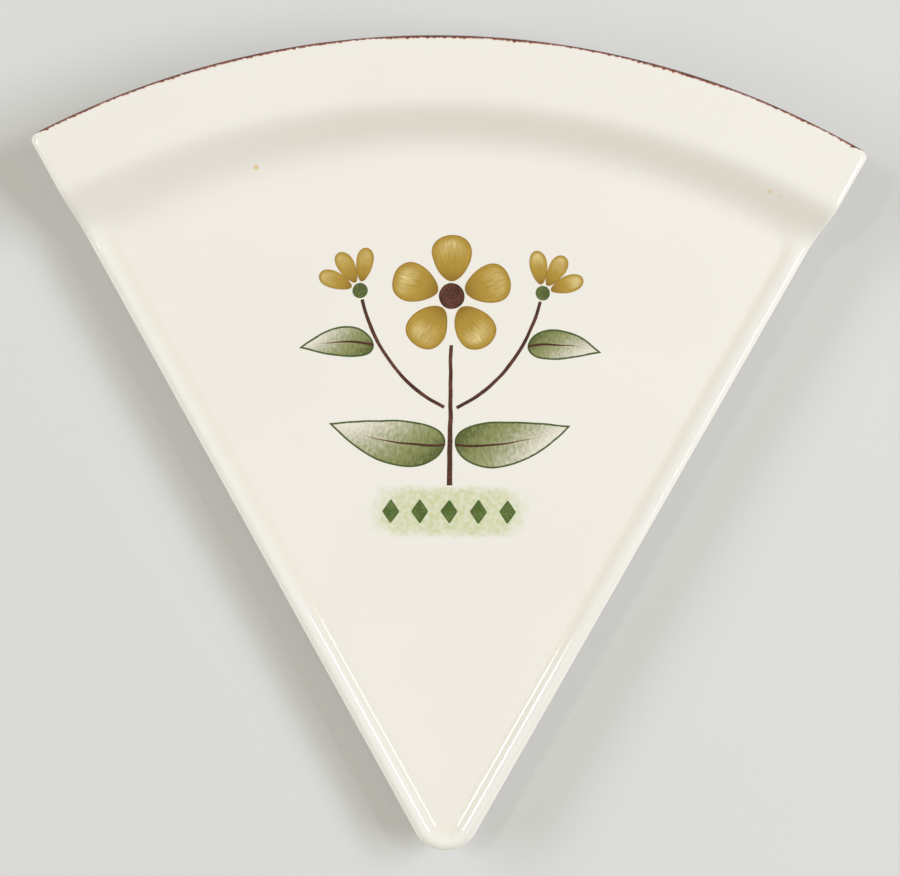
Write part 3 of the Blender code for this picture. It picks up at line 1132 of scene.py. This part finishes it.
def thicken(piece: bpy.types.Object, thickness: float, offset: float) -> None:
    """Gives a sheet its thickness.

    Args:
        piece: The sheet.
        thickness: How thick it gets.
        offset: -1 to grow inwards from the sheet, 1 to grow outwards.
    """
    wall = piece.modifiers.new("thickness", "SOLIDIFY")
    wall.thickness = thickness
    wall.offset = offset
    bpy.ops.object.modifier_apply(modifier=wall.name)


def smooth(piece: bpy.types.Object) -> None:
    """Shades a piece smooth, with its sharp edges kept.

    Args:
        piece: The piece.
    """
    start_fresh()
    piece.select_set(True)
    bpy.context.view_layer.objects.active = piece
    bpy.ops.object.shade_smooth_by_angle(angle=SMOOTH_ANGLE)


def carry(piece: bpy.types.Object, name: str, values: Sequence[float]) -> None:
    """Stores a number for each point of a mesh, for its material to read."""
    layer = piece.data.attributes.new(name, "FLOAT", "POINT")
    layer.data.foreach_set("value", np.asarray(values, dtype=np.float32))


def carry_edge(piece: bpy.types.Object, border: Sequence[Vector]) -> None:
    """Stores how far each point of a flat shape lies from its border.

    Args:
        piece: The flat shape.
        border: The points round it, in order.
    """
    points = np.array([vert.co.xy for vert in piece.data.vertices])
    starts = np.array([point.xy for point in border])
    ways = np.roll(starts, -1, axis=0) - starts
    lengths = np.maximum((ways**2).sum(axis=1), LEAST_SQUARE)
    offsets = points[:, None] - starts[None]
    shares = np.clip((offsets * ways[None]).sum(axis=2) / lengths, 0.0, 1.0)
    gaps = offsets - shares[..., None] * ways[None]
    carry(piece, "edge", np.sqrt((gaps**2).sum(axis=2)).min(axis=1))


class SubAssembly(ABC):
    """A group of pieces that belong together."""

    @abstractmethod
    def build(self) -> list[Piece]:
        """Models the pieces.

        Returns:
            The pieces with their finishes, in the order they are seated.
        """


@dataclass
class GlazedSlice(SubAssembly):
    """The fired plate: its clay, the glaze all round and the glaze in the foot's recess."""

    form: SliceForm
    glaze: CreamGlaze
    plain_glaze: CreamGlaze = CreamGlaze()
    clay: BareClay = BareClay()
    glaze_thickness: float = 0.12 * MM
    clay_depth: float = 0.35 * MM
    sole_rounding: float = 0.6 * MM
    rounding_steps: int = 6
    wall_steps: int = 4
    creep: float = 0.9 * MM
    top_depth: float = 1.5 * MM
    thin_place: float = 3.5 * MM
    thin_reach: float = 2.2 * MM
    # Where the glaze gathers at the lip's foot, also painted a little darker as shade in the crease
    pool_place: float = 6.55 * MM
    pool_reach: float = 2.4 * MM

    @property
    def quarter(self) -> list[float]:
        """The angles of the steps round a quarter turn."""
        return [math.pi / 2 * step / self.rounding_steps for step in range(self.rounding_steps + 1)]

    def build(self) -> list[Piece]:
        """Models the glaze, the clay and the recess glaze.

        Returns:
            The three pieces.
        """
        return [
            Piece(self.build_glaze(), self.glaze, ("glaze_coat",)),
            Piece(self.build_clay(), self.clay, ("clay_body",)),
            Piece(self.build_recess(), self.plain_glaze, ("base_glaze",)),
        ]

    def build_glaze(self) -> bpy.types.Object:
        """Models the glaze over the top, the edge and the underside down to the dry foot.

        Returns:
            The glaze as a thin closed shell.
        """
        form = self.form
        rows = []
        wall = form.foot_height - form.dry_foot_height
        for step in range(self.wall_steps):
            height = form.dry_foot_height + wall * step / self.wall_steps
            rows.append(form.level_ring(form.foot, height))
        glaze = wrap_rings("glaze_skin", rows + form.skin_rows())
        cap(glaze, form.floor_top)
        thicken(glaze, self.glaze_thickness, -1.0)
        smooth(glaze)
        self.mark_flow_and_shade(glaze)
        return glaze

    def mark_flow_and_shade(self, glaze: bpy.types.Object) -> None:
        """Stores where the glaze ran thin over the lip, and where it gathered at its foot, with
        painted shade in the crease there.

        Args:
            glaze: The glaze's shell.
        """
        form = self.form
        thin = []
        pool = []
        for vert in glaze.data.vertices:
            plan = vert.co.xy
            on_top = form.top_height(plan) - vert.co.z < self.top_depth
            lip = form.lip_share(plan) if on_top else 0.0
            inwards = form.from_side(plan)
            thin.append(lip * hump(inwards, self.thin_place, self.thin_reach))
            # The lip's foot: glaze gathered thick, with painted shade in the crease
            pool.append(lip * hump(inwards, self.pool_place, self.pool_reach))
        carry(glaze, "thin", thin)
        carry(glaze, "pool", pool)

    def build_clay(self) -> bpy.types.Object:
        """Models the clay inside the glaze, with its foot ring and the recess in the foot.

        Returns:
            The clay as a closed solid.
        """
        form = self.form
        outer = form.foot.inset(self.clay_depth)
        inner = form.foot.inset(form.foot_width)
        soft = self.sole_rounding
        ceiling = form.foot_height + self.clay_depth
        rows = [form.level_ring(inner, ceiling), form.level_ring(inner, ceiling / 2)]
        for turn in self.quarter:
            wall = inner.inset(-soft * (1 - math.cos(turn)))
            rows.append(form.level_ring(wall, soft * (1 - math.sin(turn))))
        for turn in self.quarter:
            wall = outer.inset(soft * (1 - math.sin(turn)))
            rows.append(form.level_ring(wall, soft * (1 - math.cos(turn))))
        rows.append(form.level_ring(outer, form.dry_foot_height))
        clay = wrap_rings("clay_core", rows + form.skin_rows(self.clay_depth))
        cap(clay, ceiling)
        cap(clay, form.floor_top - self.clay_depth)
        smooth(clay)
        return clay

    def build_recess(self) -> bpy.types.Object:
        """Models the glaze in the recess, which creeps a little down the foot's inner wall.

        Returns:
            The recess glaze as a thin closed shell.
        """
        form = self.form
        wall = form.foot.inset(form.foot_width + self.glaze_thickness)
        rows = []
        for turn in self.quarter:
            inset = wall.inset(self.creep * (1 - math.cos(turn)))
            height = form.foot_height - self.creep * (1 - math.sin(turn))
            rows.append(form.level_ring(inset, height))
        recess = wrap_rings("recess_glaze", rows)
        cap(recess, form.foot_height)
        flip()
        thicken(recess, self.glaze_thickness, -1.0)
        smooth(recess)
        return recess


@dataclass
class EdgeBrush(SubAssembly):
    """The brown band brushed along the arc's edge, frayed where the bristles ran dry."""

    form: SliceForm
    finish: RustBrush = RustBrush()
    below: float = math.radians(-35.0)
    above: float = math.radians(55.0)
    highest: float = math.radians(88.0)
    core: float = math.radians(8.0)
    fray: float = math.radians(26.0)
    slow_share: float = 0.45
    slow_place: Triple = (26.0, 0.4, 0.0)
    quick_share: float = 0.6
    quick_place: Triple = (260.0, 7.9, 0.0)
    taper: float = 5.0 * MM
    least_width: float = 0.05
    corner_share: float = 0.57
    thickness: float = 0.04 * MM
    columns: int = 900
    rows: int = 8
    samples: int = 40

    def border(self, along: float) -> float:
        """Gives the angle that the paint reaches at a share of the band's length.

        Args:
            along: The share of the band's length.

        Returns:
            The angle on the rounded edge.
        """
        waves = ((self.slow_share, self.slow_place), (self.quick_share, self.quick_place))
        reach = sum(share * noise.noise(Vector((along * x, y, z))) for share, (x, y, z) in waves)
        return self.above + self.fray * reach

    def build(self) -> list[Piece]:
        """Models the band as a strip that lies on the glaze and thins out round the corners.

        Returns:
            The band.
        """
        form = replace(self.form, arc_steps=self.columns // 2)
        extra = round(form.corner_steps * self.corner_share)
        first = form.tip_steps + len(form.stations) + form.corner_steps - extra
        count = self.columns + 2 * extra
        angles = np.linspace(self.below, self.highest, self.samples)
        rings = [form.edge_ring(angle)[first : first + count + 1] for angle in angles]
        steps = [0.0] + [(b - a).length for a, b in zip(rings[0], rings[0][1:])]
        walked = np.cumsum(steps)
        from_end = np.minimum(walked, walked[-1] - walked)

        def place(along: float, up: float) -> Vector:
            """Gives the band's point at two shares, from rows that were made beforehand.

            Args:
                along: The share of the band's length.
                up: The share of its height.

            Returns:
                The point on the glaze.
            """
            column = round(along * count)
            full = self.least_width + (1 - self.least_width) * ease(from_end[column] / self.taper)
            angle = self.below + (self.border(walked[column] / walked[-1]) - self.below) * up
            angle = self.core + (angle - self.core) * full
            step = float(np.interp(angle, angles, np.arange(self.samples)))
            low = min(int(step), self.samples - 2)
            return rings[low][column].lerp(rings[low + 1][column], step - low)

        band = wrap_grid("edge_brush", count, self.rows, place)
        thicken(band, self.thickness, 1.0)
        smooth(band)
        return [Piece(band, self.finish, ("edge_band",))]


@dataclass
class PaintedGroup(SubAssembly):
    """Shapes painted flat on the floor, each a stroke of its own."""

    form: SliceForm
    film: float = 0.04 * MM
    posy_from_arc: float = 96.5 * MM
    spacing: float = 0.5 * MM
    slip: float = 0.25 * MM
    slip_grain: float = 6.0 * MM
    rounding_steps: int = 4
    heart_share: float = 0.25

    @property
    def centre(self) -> Vector:
        """The posy's centre on the plan."""
        return self.form.apex + Vector((0.0, self.form.plate_radius - self.posy_from_arc))

    def on_floor(self, point: Vector) -> Vector:
        """Gives a plan point, measured from the posy's centre, on the floor with a hand's slip.

        Args:
            point: The point, from the posy's centre.

        Returns:
            The point on the floor.
        """
        place = self.centre + point
        place = place + waver(place, self.slip_grain, self.slip)
        return Vector((place.x, place.y, self.form.floor_top))

    def finish_film(self, sheet: bpy.types.Object) -> bpy.types.Object:
        """Welds a flat sheet, turns it face up and gives it the paint's thickness.

        Args:
            sheet: The sheet, which is the active piece.

        Returns:
            The same sheet.
        """
        weld()
        if sum(face.normal.z * face.area for face in sheet.data.polygons) < 0:
            flip()
        thicken(sheet, self.film, 1.0)
        return sheet

    def stroke(self, name: str, faces: tuple[int, int], shape: Stroke) -> bpy.types.Object:
        """Paints a stroke along a line.

        Args:
            name: The new piece's name.
            faces: How many faces it has along and across.
            shape: Gives, for a share of its length, its middle and its half width as a vector.

        Returns:
            The painted film, which carries its distances to the border and to the middle line.
        """
        columns, rows = faces

        def place(along: float, across: float) -> Vector:
            """Gives the stroke's point at two shares."""
            middle, half = shape(along)
            return self.on_floor(middle + half * (2 * across - 1))

        sheet = wrap_grid(name, columns, rows, place)
        shares = [step / columns for step in range(columns + 1)]
        near = [place(share, 0.0) for share in shares]
        far = [place(share, 1.0) for share in shares]
        carry_edge(sheet, near + far[::-1])
        middles = np.array([place(share, 0.5).xy for share in shares])
        points = np.array([vert.co.xy for vert in sheet.data.vertices])
        gaps = np.sqrt(((points[:, None] - middles[None]) ** 2).sum(axis=2))
        carry(sheet, "rib", gaps.min(axis=1))
        return self.finish_film(sheet)

    def spot(self, name: str, middle: Vector, radius: float, corners: int, squeeze: float = 1.0,
             rounding: float = 0.0) -> bpy.types.Object:
        """Paints a round spot, or a stamped shape with corners.

        Args:
            name: The new piece's name.
            middle: Its middle, measured from the posy's centre.
            radius: From its middle to its corners.
            corners: How many corners it has.
            squeeze: Its width as a share of its length.
            rounding: How far its corners are rounded.

        Returns:
            The painted film, which carries its distance to the border.
        """
        start_fresh()
        bpy.ops.mesh.primitive_circle_add(vertices=corners, radius=radius, fill_type="TRIFAN")
        sheet = name_new(name)
        with editing():
            bpy.ops.transform.resize(value=(squeeze, 1.0, 1.0))
        inner = radius * self.heart_share
        if rounding:
            for vert in sheet.data.vertices:
                vert.select = vert.co.length > inner
            with editing(everything=False):
                bpy.ops.mesh.bevel(offset=rounding, segments=self.rounding_steps, affect="VERTICES")
        for vert in sheet.data.vertices:
            vert.co = self.on_floor(middle + vert.co.xy)
        heart = self.on_floor(middle)
        ways = [vert.co - heart for vert in sheet.data.vertices]
        outer = [way for way in ways if way.xy.length > inner]
        outer.sort(key=lambda way: math.atan2(way.y, way.x))
        carry_edge(sheet, [heart + way for way in outer])
        return self.finish_film(sheet)


@dataclass
class Posy(PaintedGroup):
    """The posy painted on the floor: a blossom, two buds, their stems and four leaves."""

    gold: GoldPaint = GoldPaint()
    bud_gold: GoldPaint = GoldPaint(line_width=0.3 * MM, glow_depth=0.7 * MM)
    leaf: LeafPaint = LeafPaint()
    brown: StrokePaint = StrokePaint(
        "brown paint", (0.062, 0.020, 0.014), (0.15, 0.05, 0.034), Slot.BROWN
    )
    green: StrokePaint = StrokePaint(
        "calyx paint", (0.075, 0.105, 0.028), (0.16, 0.19, 0.06), Slot.GREEN
    )
    blossom_rise: float = 14.0 * MM
    disc_radius: float = 4.2 * MM
    disc_corners: int = 40
    petals: int = 5
    petal_length: float = 15.0 * MM
    petal_width: float = 12.4 * MM
    petal_egg: float = 0.28
    petal_faces: tuple[int, int] = (44, 18)
    stem_length: float = 45.0 * MM
    stem_top_width: float = 1.1 * MM
    stem_foot_width: float = 2.0 * MM
    stem_faces: tuple[int, int] = (60, 4)
    twig_drop: float = 22.0 * MM
    twig_reach: float = 26.6 * MM
    twig_climb: float = 34.5 * MM
    twig_sag: float = 5.0 * MM
    twig_width: float = 1.1 * MM
    twig_step: float = 0.01
    twig_end: float = 0.875
    calyx_radius: float = 2.4 * MM
    calyx_corners: int = 28
    bud_petals: int = 3
    bud_axis: float = math.radians(60.0)
    bud_fan: float = math.radians(39.0)
    bud_length: float = 11.0 * MM
    bud_width: float = 5.4 * MM
    low_leaf_drop: float = 34.0 * MM
    low_leaf_size: Size = (38.0 * MM, 15.0 * MM)
    low_leaf_angle: float = math.radians(10.0)
    high_leaf_share: float = 0.7
    high_leaf_size: Size = (24.0 * MM, 10.0 * MM)
    high_leaf_angle: float = math.radians(-4.0)
    leaf_bend: float = 0.06
    leaf_faces: tuple[int, int] = (60, 20)

    @property
    def petal_foot(self) -> float:
        """How far from the blossom's middle its petals start."""
        return self.disc_radius + self.spacing

    @property
    def stem_top(self) -> float:
        """Where the stem meets the blossom, measured from the posy's centre."""
        reach = self.petal_foot + self.petal_length
        return self.blossom_rise - reach * math.cos(math.pi / self.petals)

    @property
    def stem_foot(self) -> float:
        """Where the stem ends, measured from the posy's centre."""
        return self.stem_top - self.stem_length

    def build(self) -> list[Piece]:
        """Paints the blossom, the stems, and on each side a bud and two leaves.

        Returns:
            The pieces of the posy.
        """
        pieces = self.build_blossom() + self.build_stems()
        for side in Side:
            pieces += self.build_bud(side) + self.build_leaves(side)
        return pieces

    def petal(self, name: str, foot: Vector, turn: float, size: Size) -> bpy.types.Object:
        """Paints an egg-shaped petal.

        Args:
            name: The new piece's name.
            foot: Where the petal starts.
            turn: The way it points.
            size: Its length and width.

        Returns:
            The painted petal.
        """
        length, width = size
        ahead = Vector((math.cos(turn), math.sin(turn)))
        across = Vector((-ahead.y, ahead.x))

        def shape(share: float) -> tuple[Vector, Vector]:
            """Gives the petal's middle and half width.

            Args:
                share: The share of the petal's length, eased at the ends.

            Returns:
                The middle and the half width.
            """
            angle = math.pi * share
            half = width / 2 * math.sin(angle) * (1 - self.petal_egg * math.cos(angle))
            return foot + ahead * length * (1 - math.cos(angle)) / 2, across * half

        return self.stroke(name, self.petal_faces, shape)

    def build_blossom(self) -> list[Piece]:
        """Paints the blossom: a disc with a ring of petals.

        Returns:
            The disc and the petals.
        """
        middle = Vector((0.0, self.blossom_rise))
        disc = self.spot("painted_disc", middle, self.disc_radius, self.disc_corners)
        pieces = [Piece(disc, self.brown, ("blossom_disc",))]
        size = (self.petal_length, self.petal_width)
        for number in range(self.petals):
            # The stem runs down between the first petal and the last
            turn = math.pi * (2 * number + 1) / self.petals - math.pi / 2
            foot = spread(middle, self.petal_foot, turn)
            petal = self.petal(f"painted_petal_{number + 1}", foot, turn, size)
            pieces.append(Piece(petal, self.gold, (f"blossom_petal_{number + 1}",)))
        return pieces

    def twig_point(self, side: Side, share: float) -> Vector:
        """Gives a point on a side twig, measured from the posy's centre.

        Args:
            side: The twig's side.
            share: The share of its length.

        Returns:
            The point.
        """
        start_out = self.stem_foot_width / 2 + self.spacing + self.twig_width / 2
        start = Vector((side.value * start_out, -self.twig_drop))
        end = start + Vector((side.value * self.twig_reach, self.twig_climb))
        sag = Vector((side.value, -1.0)).normalized() * 2 * self.twig_sag
        elbow = start.lerp(end, 0.5) + sag
        return start.lerp(elbow, share).lerp(elbow.lerp(end, share), share)

    def build_stems(self) -> list[Piece]:
        """Paints the upright stem and the two side twigs.

        Returns:
            The stem and the twigs.
        """

        def stem_shape(share: float) -> tuple[Vector, Vector]:
            """Gives the stem's middle and half width.

            Args:
                share: The share of the stem's length, from its foot.

            Returns:
                The middle and the half width.
            """
            narrowing = self.stem_top_width - self.stem_foot_width
            width = self.stem_foot_width + narrowing * math.sqrt(share)
            middle = Vector((0.0, self.stem_foot + self.stem_length * share))
            return middle, Vector((-width / 2, 0.0))

        stem = self.stroke("painted_stem", self.stem_faces, stem_shape)
        pieces = [Piece(stem, self.brown, ("stem",))]
        for side in Side:

            def twig_shape(share: float) -> tuple[Vector, Vector]:
                """Gives the twig's middle and half width.

                Args:
                    share: The share of the twig's length.

                Returns:
                    The middle and the half width.
                """
                behind = self.twig_point(side, share - self.twig_step)
                ahead = self.twig_point(side, share + self.twig_step) - behind
                across = Vector((-ahead.y, ahead.x)).normalized()
                return self.twig_point(side, share), across * self.twig_width / 2

            twig = self.stroke(f"painted_{side.label}_twig", self.stem_faces, twig_shape)
            pieces.append(Piece(twig, self.brown, (f"{side.label}_twig",)))
        return pieces

    def build_bud(self, side: Side) -> list[Piece]:
        """Paints a bud at the end of a side twig: a calyx with a fan of petals.

        Args:
            side: The bud's side.

        Returns:
            The calyx and the petals.
        """
        end = self.twig_point(side, 1.0)
        ahead = (end - self.twig_point(side, self.twig_end)).normalized()
        middle = end + ahead * (self.calyx_radius + self.spacing)
        label = side.label
        name = f"painted_{label}_calyx"
        calyx = self.spot(name, middle, self.calyx_radius, self.calyx_corners)
        pieces = [Piece(calyx, self.green, (f"{label}_calyx",))]
        for number in range(self.bud_petals):
            fan = self.bud_fan * (number - (self.bud_petals - 1) / 2)
            turn = side.mirror(self.bud_axis) + fan
            foot = spread(middle, self.calyx_radius + self.spacing, turn)
            name = f"painted_{label}_bud_petal_{number + 1}"
            petal = self.petal(name, foot, turn, (self.bud_length, self.bud_width))
            pieces.append(Piece(petal, self.bud_gold, (f"{label}_bud_petal_{number + 1}",)))
        return pieces

    def leaf_shape(
        self, name: str, foot: Vector, turn: float, size: Size, bend: float
    ) -> bpy.types.Object:
        """Paints a pointed leaf.

        Args:
            name: The new piece's name.
            foot: Where the leaf starts.
            turn: The way it points.
            size: Its length and width.
            bend: How far it bows sideways, as a share of its length.

        Returns:
            The painted leaf.
        """
        length, width = size
        ahead = Vector((math.cos(turn), math.sin(turn)))
        across = Vector((-ahead.y, ahead.x))
        # The product below peaks at this value, so the leaf is as wide as it says
        peak = 4 / (3 * math.sqrt(3))

        def shape(share: float) -> tuple[Vector, Vector]:
            """Gives the leaf's middle and half width.

            Args:
                share: The share of the leaf's length, eased at the ends.

            Returns:
                The middle and the half width.
            """
            angle = math.pi * share
            along = (1 - math.cos(angle)) / 2
            half = width / 2 * math.sin(angle) * math.cos(angle / 2) / peak
            bow = 4 * bend * length * along * (1 - along)
            return foot + ahead * length * along + across * bow, across * half

        return self.stroke(name, self.leaf_faces, shape)

    def build_leaves(self, side: Side) -> list[Piece]:
        """Paints the two leaves on one side of the posy.

        Args:
            side: The leaves' side.

        Returns:
            The low leaf and the high leaf.
        """
        label = side.label
        bend = side.value * self.leaf_bend
        out = self.stem_foot_width / 2 + self.spacing
        low = Vector((side.value * out, -self.low_leaf_drop))
        stalk = self.twig_point(side, self.high_leaf_share)
        gap = self.twig_width + self.spacing
        high = stalk + Vector((side.value, -1.0)).normalized() * gap
        leaves = (
            ("low_leaf", low, self.low_leaf_angle, self.low_leaf_size, -bend),
            ("high_leaf", high, self.high_leaf_angle, self.high_leaf_size, bend),
        )
        pieces = []
        for name, foot, angle, size, bow in leaves:
            node = f"{label}_{name}"
            leaf = self.leaf_shape(f"painted_{node}", foot, side.mirror(angle), size, bow)
            pieces.append(Piece(leaf, self.leaf, (node,)))
        return pieces


@dataclass
class StampRow(PaintedGroup):
    """The row of stamped lozenges below the posy."""

    row_drop: float = 0.0
    ink: StrokePaint = StrokePaint(
        "stamp ink", (0.068, 0.118, 0.022), (0.15, 0.21, 0.06), Slot.GREEN
    )
    count: int = 5
    corners: int = 4
    pitch: float = 9.4 * MM
    width: float = 5.6 * MM
    length: float = 8.0 * MM
    rounding: float = 0.5 * MM

    def build(self) -> list[Piece]:
        """Stamps the lozenges.

        Returns:
            The lozenges.
        """
        pieces = []
        for number in range(self.count):
            out = self.pitch * (number - (self.count - 1) / 2)
            middle = Vector((out, self.row_drop))
            name = f"stamped_lozenge_{number + 1}"
            squeeze = self.width / self.length
            mark = self.spot(name, middle, self.length / 2, self.corners, squeeze, self.rounding)
            pieces.append(Piece(mark, self.ink, (f"stamp_{number + 1}",)))
        return pieces


# Daylight from the lamps and warmer light from the room, which add up to white on the table
COOL: Colour = (0.86, 0.882, 1.0)
WARM: Colour = (1.0, 0.952, 0.715)


@dataclass(frozen=True)
class SoftBox:
    """A flat lamp aimed at the plate.

    Its angles are in degrees, from +X towards +Y and up from the table.
    """

    name: str
    azimuth: float
    elevation: float
    width: float
    height: float
    power: float
    tint: Colour = (1.0, 1.0, 1.0)
    mirrored: bool = True
    lighting: bool = True
    distance: float = 2.5

    def build(self) -> None:
        """Adds the lamp, which the glaze may mirror and which may light the room."""
        lamp = bpy.data.lights.new(self.name, "AREA")
        lamp.shape = "RECTANGLE"
        lamp.size = self.width
        lamp.size_y = self.height
        lamp.energy = self.power
        lamp.color = self.tint
        made = bpy.data.objects.new(self.name, lamp)
        turn = math.radians(self.azimuth)
        rise = math.radians(self.elevation)
        flat = math.cos(rise)
        away = Vector((flat * math.cos(turn), flat * math.sin(turn), math.sin(rise)))
        made.location = away * self.distance
        made.rotation_euler = (-away).to_track_quat("-Z", "Y").to_euler()
        made.visible_glossy = self.mirrored
        made.visible_diffuse = self.lighting
        bpy.context.scene.collection.objects.link(made)


@dataclass(frozen=True)
class PhotoCamera:
    """The camera, from fitting the plate's outline to the photograph."""

    lens: float = 67.29
    sensor: float = 36.0
    nearest: float = 0.01
    height: float = 0.55
    aim: Triple = (0.48 * MM, 2.13 * MM, 2.4 * MM)
    tilts: Triple = (-0.93, 3.15, -0.66)

    def build(self) -> None:
        """Adds the camera and makes it the scene's."""
        camera = bpy.data.cameras.new("photo camera")
        camera.sensor_fit = "HORIZONTAL"
        camera.sensor_width = self.sensor
        camera.lens = self.lens
        camera.clip_start = self.nearest
        about_x, about_y, about_z = (
            Matrix.Rotation(math.radians(tilt), 3, axis) for tilt, axis in zip(self.tilts, "XYZ")
        )
        back = (about_y @ about_x @ about_z).transposed()
        place = Vector(self.aim) + back @ Vector((0.0, 0.0, self.height))
        made = bpy.data.objects.new("photo camera", camera)
        made.matrix_world = Matrix.Translation(place) @ back.to_4x4()
        bpy.context.scene.collection.objects.link(made)
        bpy.context.scene.camera = made


@dataclass
class Studio:
    """The pale table, the soft light and the camera."""

    floor_colour: Colour = (0.689, 0.690, 0.680)
    floor_roughness: float = 0.8
    floor_size: float = 8.0
    sky: float = 0.416
    sky_tint: Colour = WARM
    backdrop: Colour = (0.71, 0.71, 0.70)
    camera: PhotoCamera = PhotoCamera()
    # Each lamp's name, azimuth, elevation, width, height and power
    lamps: list[SoftBox] = field(default_factory=lambda: [
        SoftBox("key softbox", 4.0, 32.5, 2.0, 0.57, 37.4, COOL, mirrored=False),
        SoftBox("key strip", -1.0, 35.0, 2.0, 0.20, 11.0, COOL),
        SoftBox("fill softbox", 172.0, 23.0, 2.0, 0.57, 37.0, COOL, mirrored=False),
        SoftBox("left lip strip", 12.0, 50.0, 0.57, 0.17, 5.2, COOL),
        SoftBox("right lip strip", 163.5, 52.5, 0.40, 0.15, 4.4),
        SoftBox("right edge gleam", -17.0, 48.0, 0.60, 0.13, 6.0, COOL, lighting=False),
        SoftBox("right corner gleam", -4.0, 45.0, 0.38, 0.57, 3.0, COOL, lighting=False),
        SoftBox("left corner gleam", 175.0, 50.0, 0.30, 0.40, 2.6, COOL, lighting=False),
    ])

    def build(self) -> None:
        """Sets up the table, the world, the lamps and the camera."""
        bpy.context.scene.view_settings.view_transform = "Standard"
        self.build_floor()
        self.build_world()
        for lamp in self.lamps:
            lamp.build()
        self.camera.build()

    def build_floor(self) -> None:
        """Lays the pale table."""
        start_fresh()
        bpy.ops.mesh.primitive_plane_add(size=self.floor_size)
        floor = name_new("table")
        sketch = NodeSketch("table")
        sketch.gloss(self.floor_roughness, self.floor_colour)
        floor.data.materials.append(sketch.material)

    def build_world(self) -> None:
        """Lights the room evenly and shows the camera a pale backdrop."""
        world = bpy.data.worlds.new("studio")
        bpy.context.scene.world = world
        world.use_nodes = True
        tree = world.node_tree
        tree.nodes.clear()
        light = tree.nodes.new("ShaderNodeBackground")
        light.inputs["Strength"].default_value = self.sky
        light.inputs["Color"].default_value = (*self.sky_tint, 1.0)
        seen = tree.nodes.new("ShaderNodeBackground")
        seen.inputs["Color"].default_value = (*self.backdrop, 1.0)
        path = tree.nodes.new("ShaderNodeLightPath")
        pick = tree.nodes.new("ShaderNodeMixShader")
        out = tree.nodes.new("ShaderNodeOutputWorld")
        tree.links.new(path.outputs["Is Camera Ray"], pick.inputs[0])
        tree.links.new(light.outputs[0], pick.inputs[1])
        tree.links.new(seen.outputs[0], pick.inputs[2])
        tree.links.new(pick.outputs[0], out.inputs["Surface"])


def main() -> None:
    """Builds the plate's pieces in order, dresses them and sets up the studio."""
    logging.basicConfig(level=logging.INFO, format="%(message)s")
    form = SliceForm()
    posy = Posy(form)
    stamps = StampRow(form, row_drop=posy.stem_foot - STAMP_GAP)
    ground = posy.centre + Vector((0.0, stamps.row_drop))
    ground_centre = (ground.x, ground.y, form.floor_top)
    glaze = CreamGlaze(ground_centre=ground_centre, ground_reach=GROUND_REACH)
    materials: dict[Finish, bpy.types.Material] = {}
    for assembly in (GlazedSlice(form, glaze), EdgeBrush(form), posy, stamps):
        for piece in assembly.build():
            piece.seat(materials)
    Studio().build()


if __name__ == "__main__":
    main()
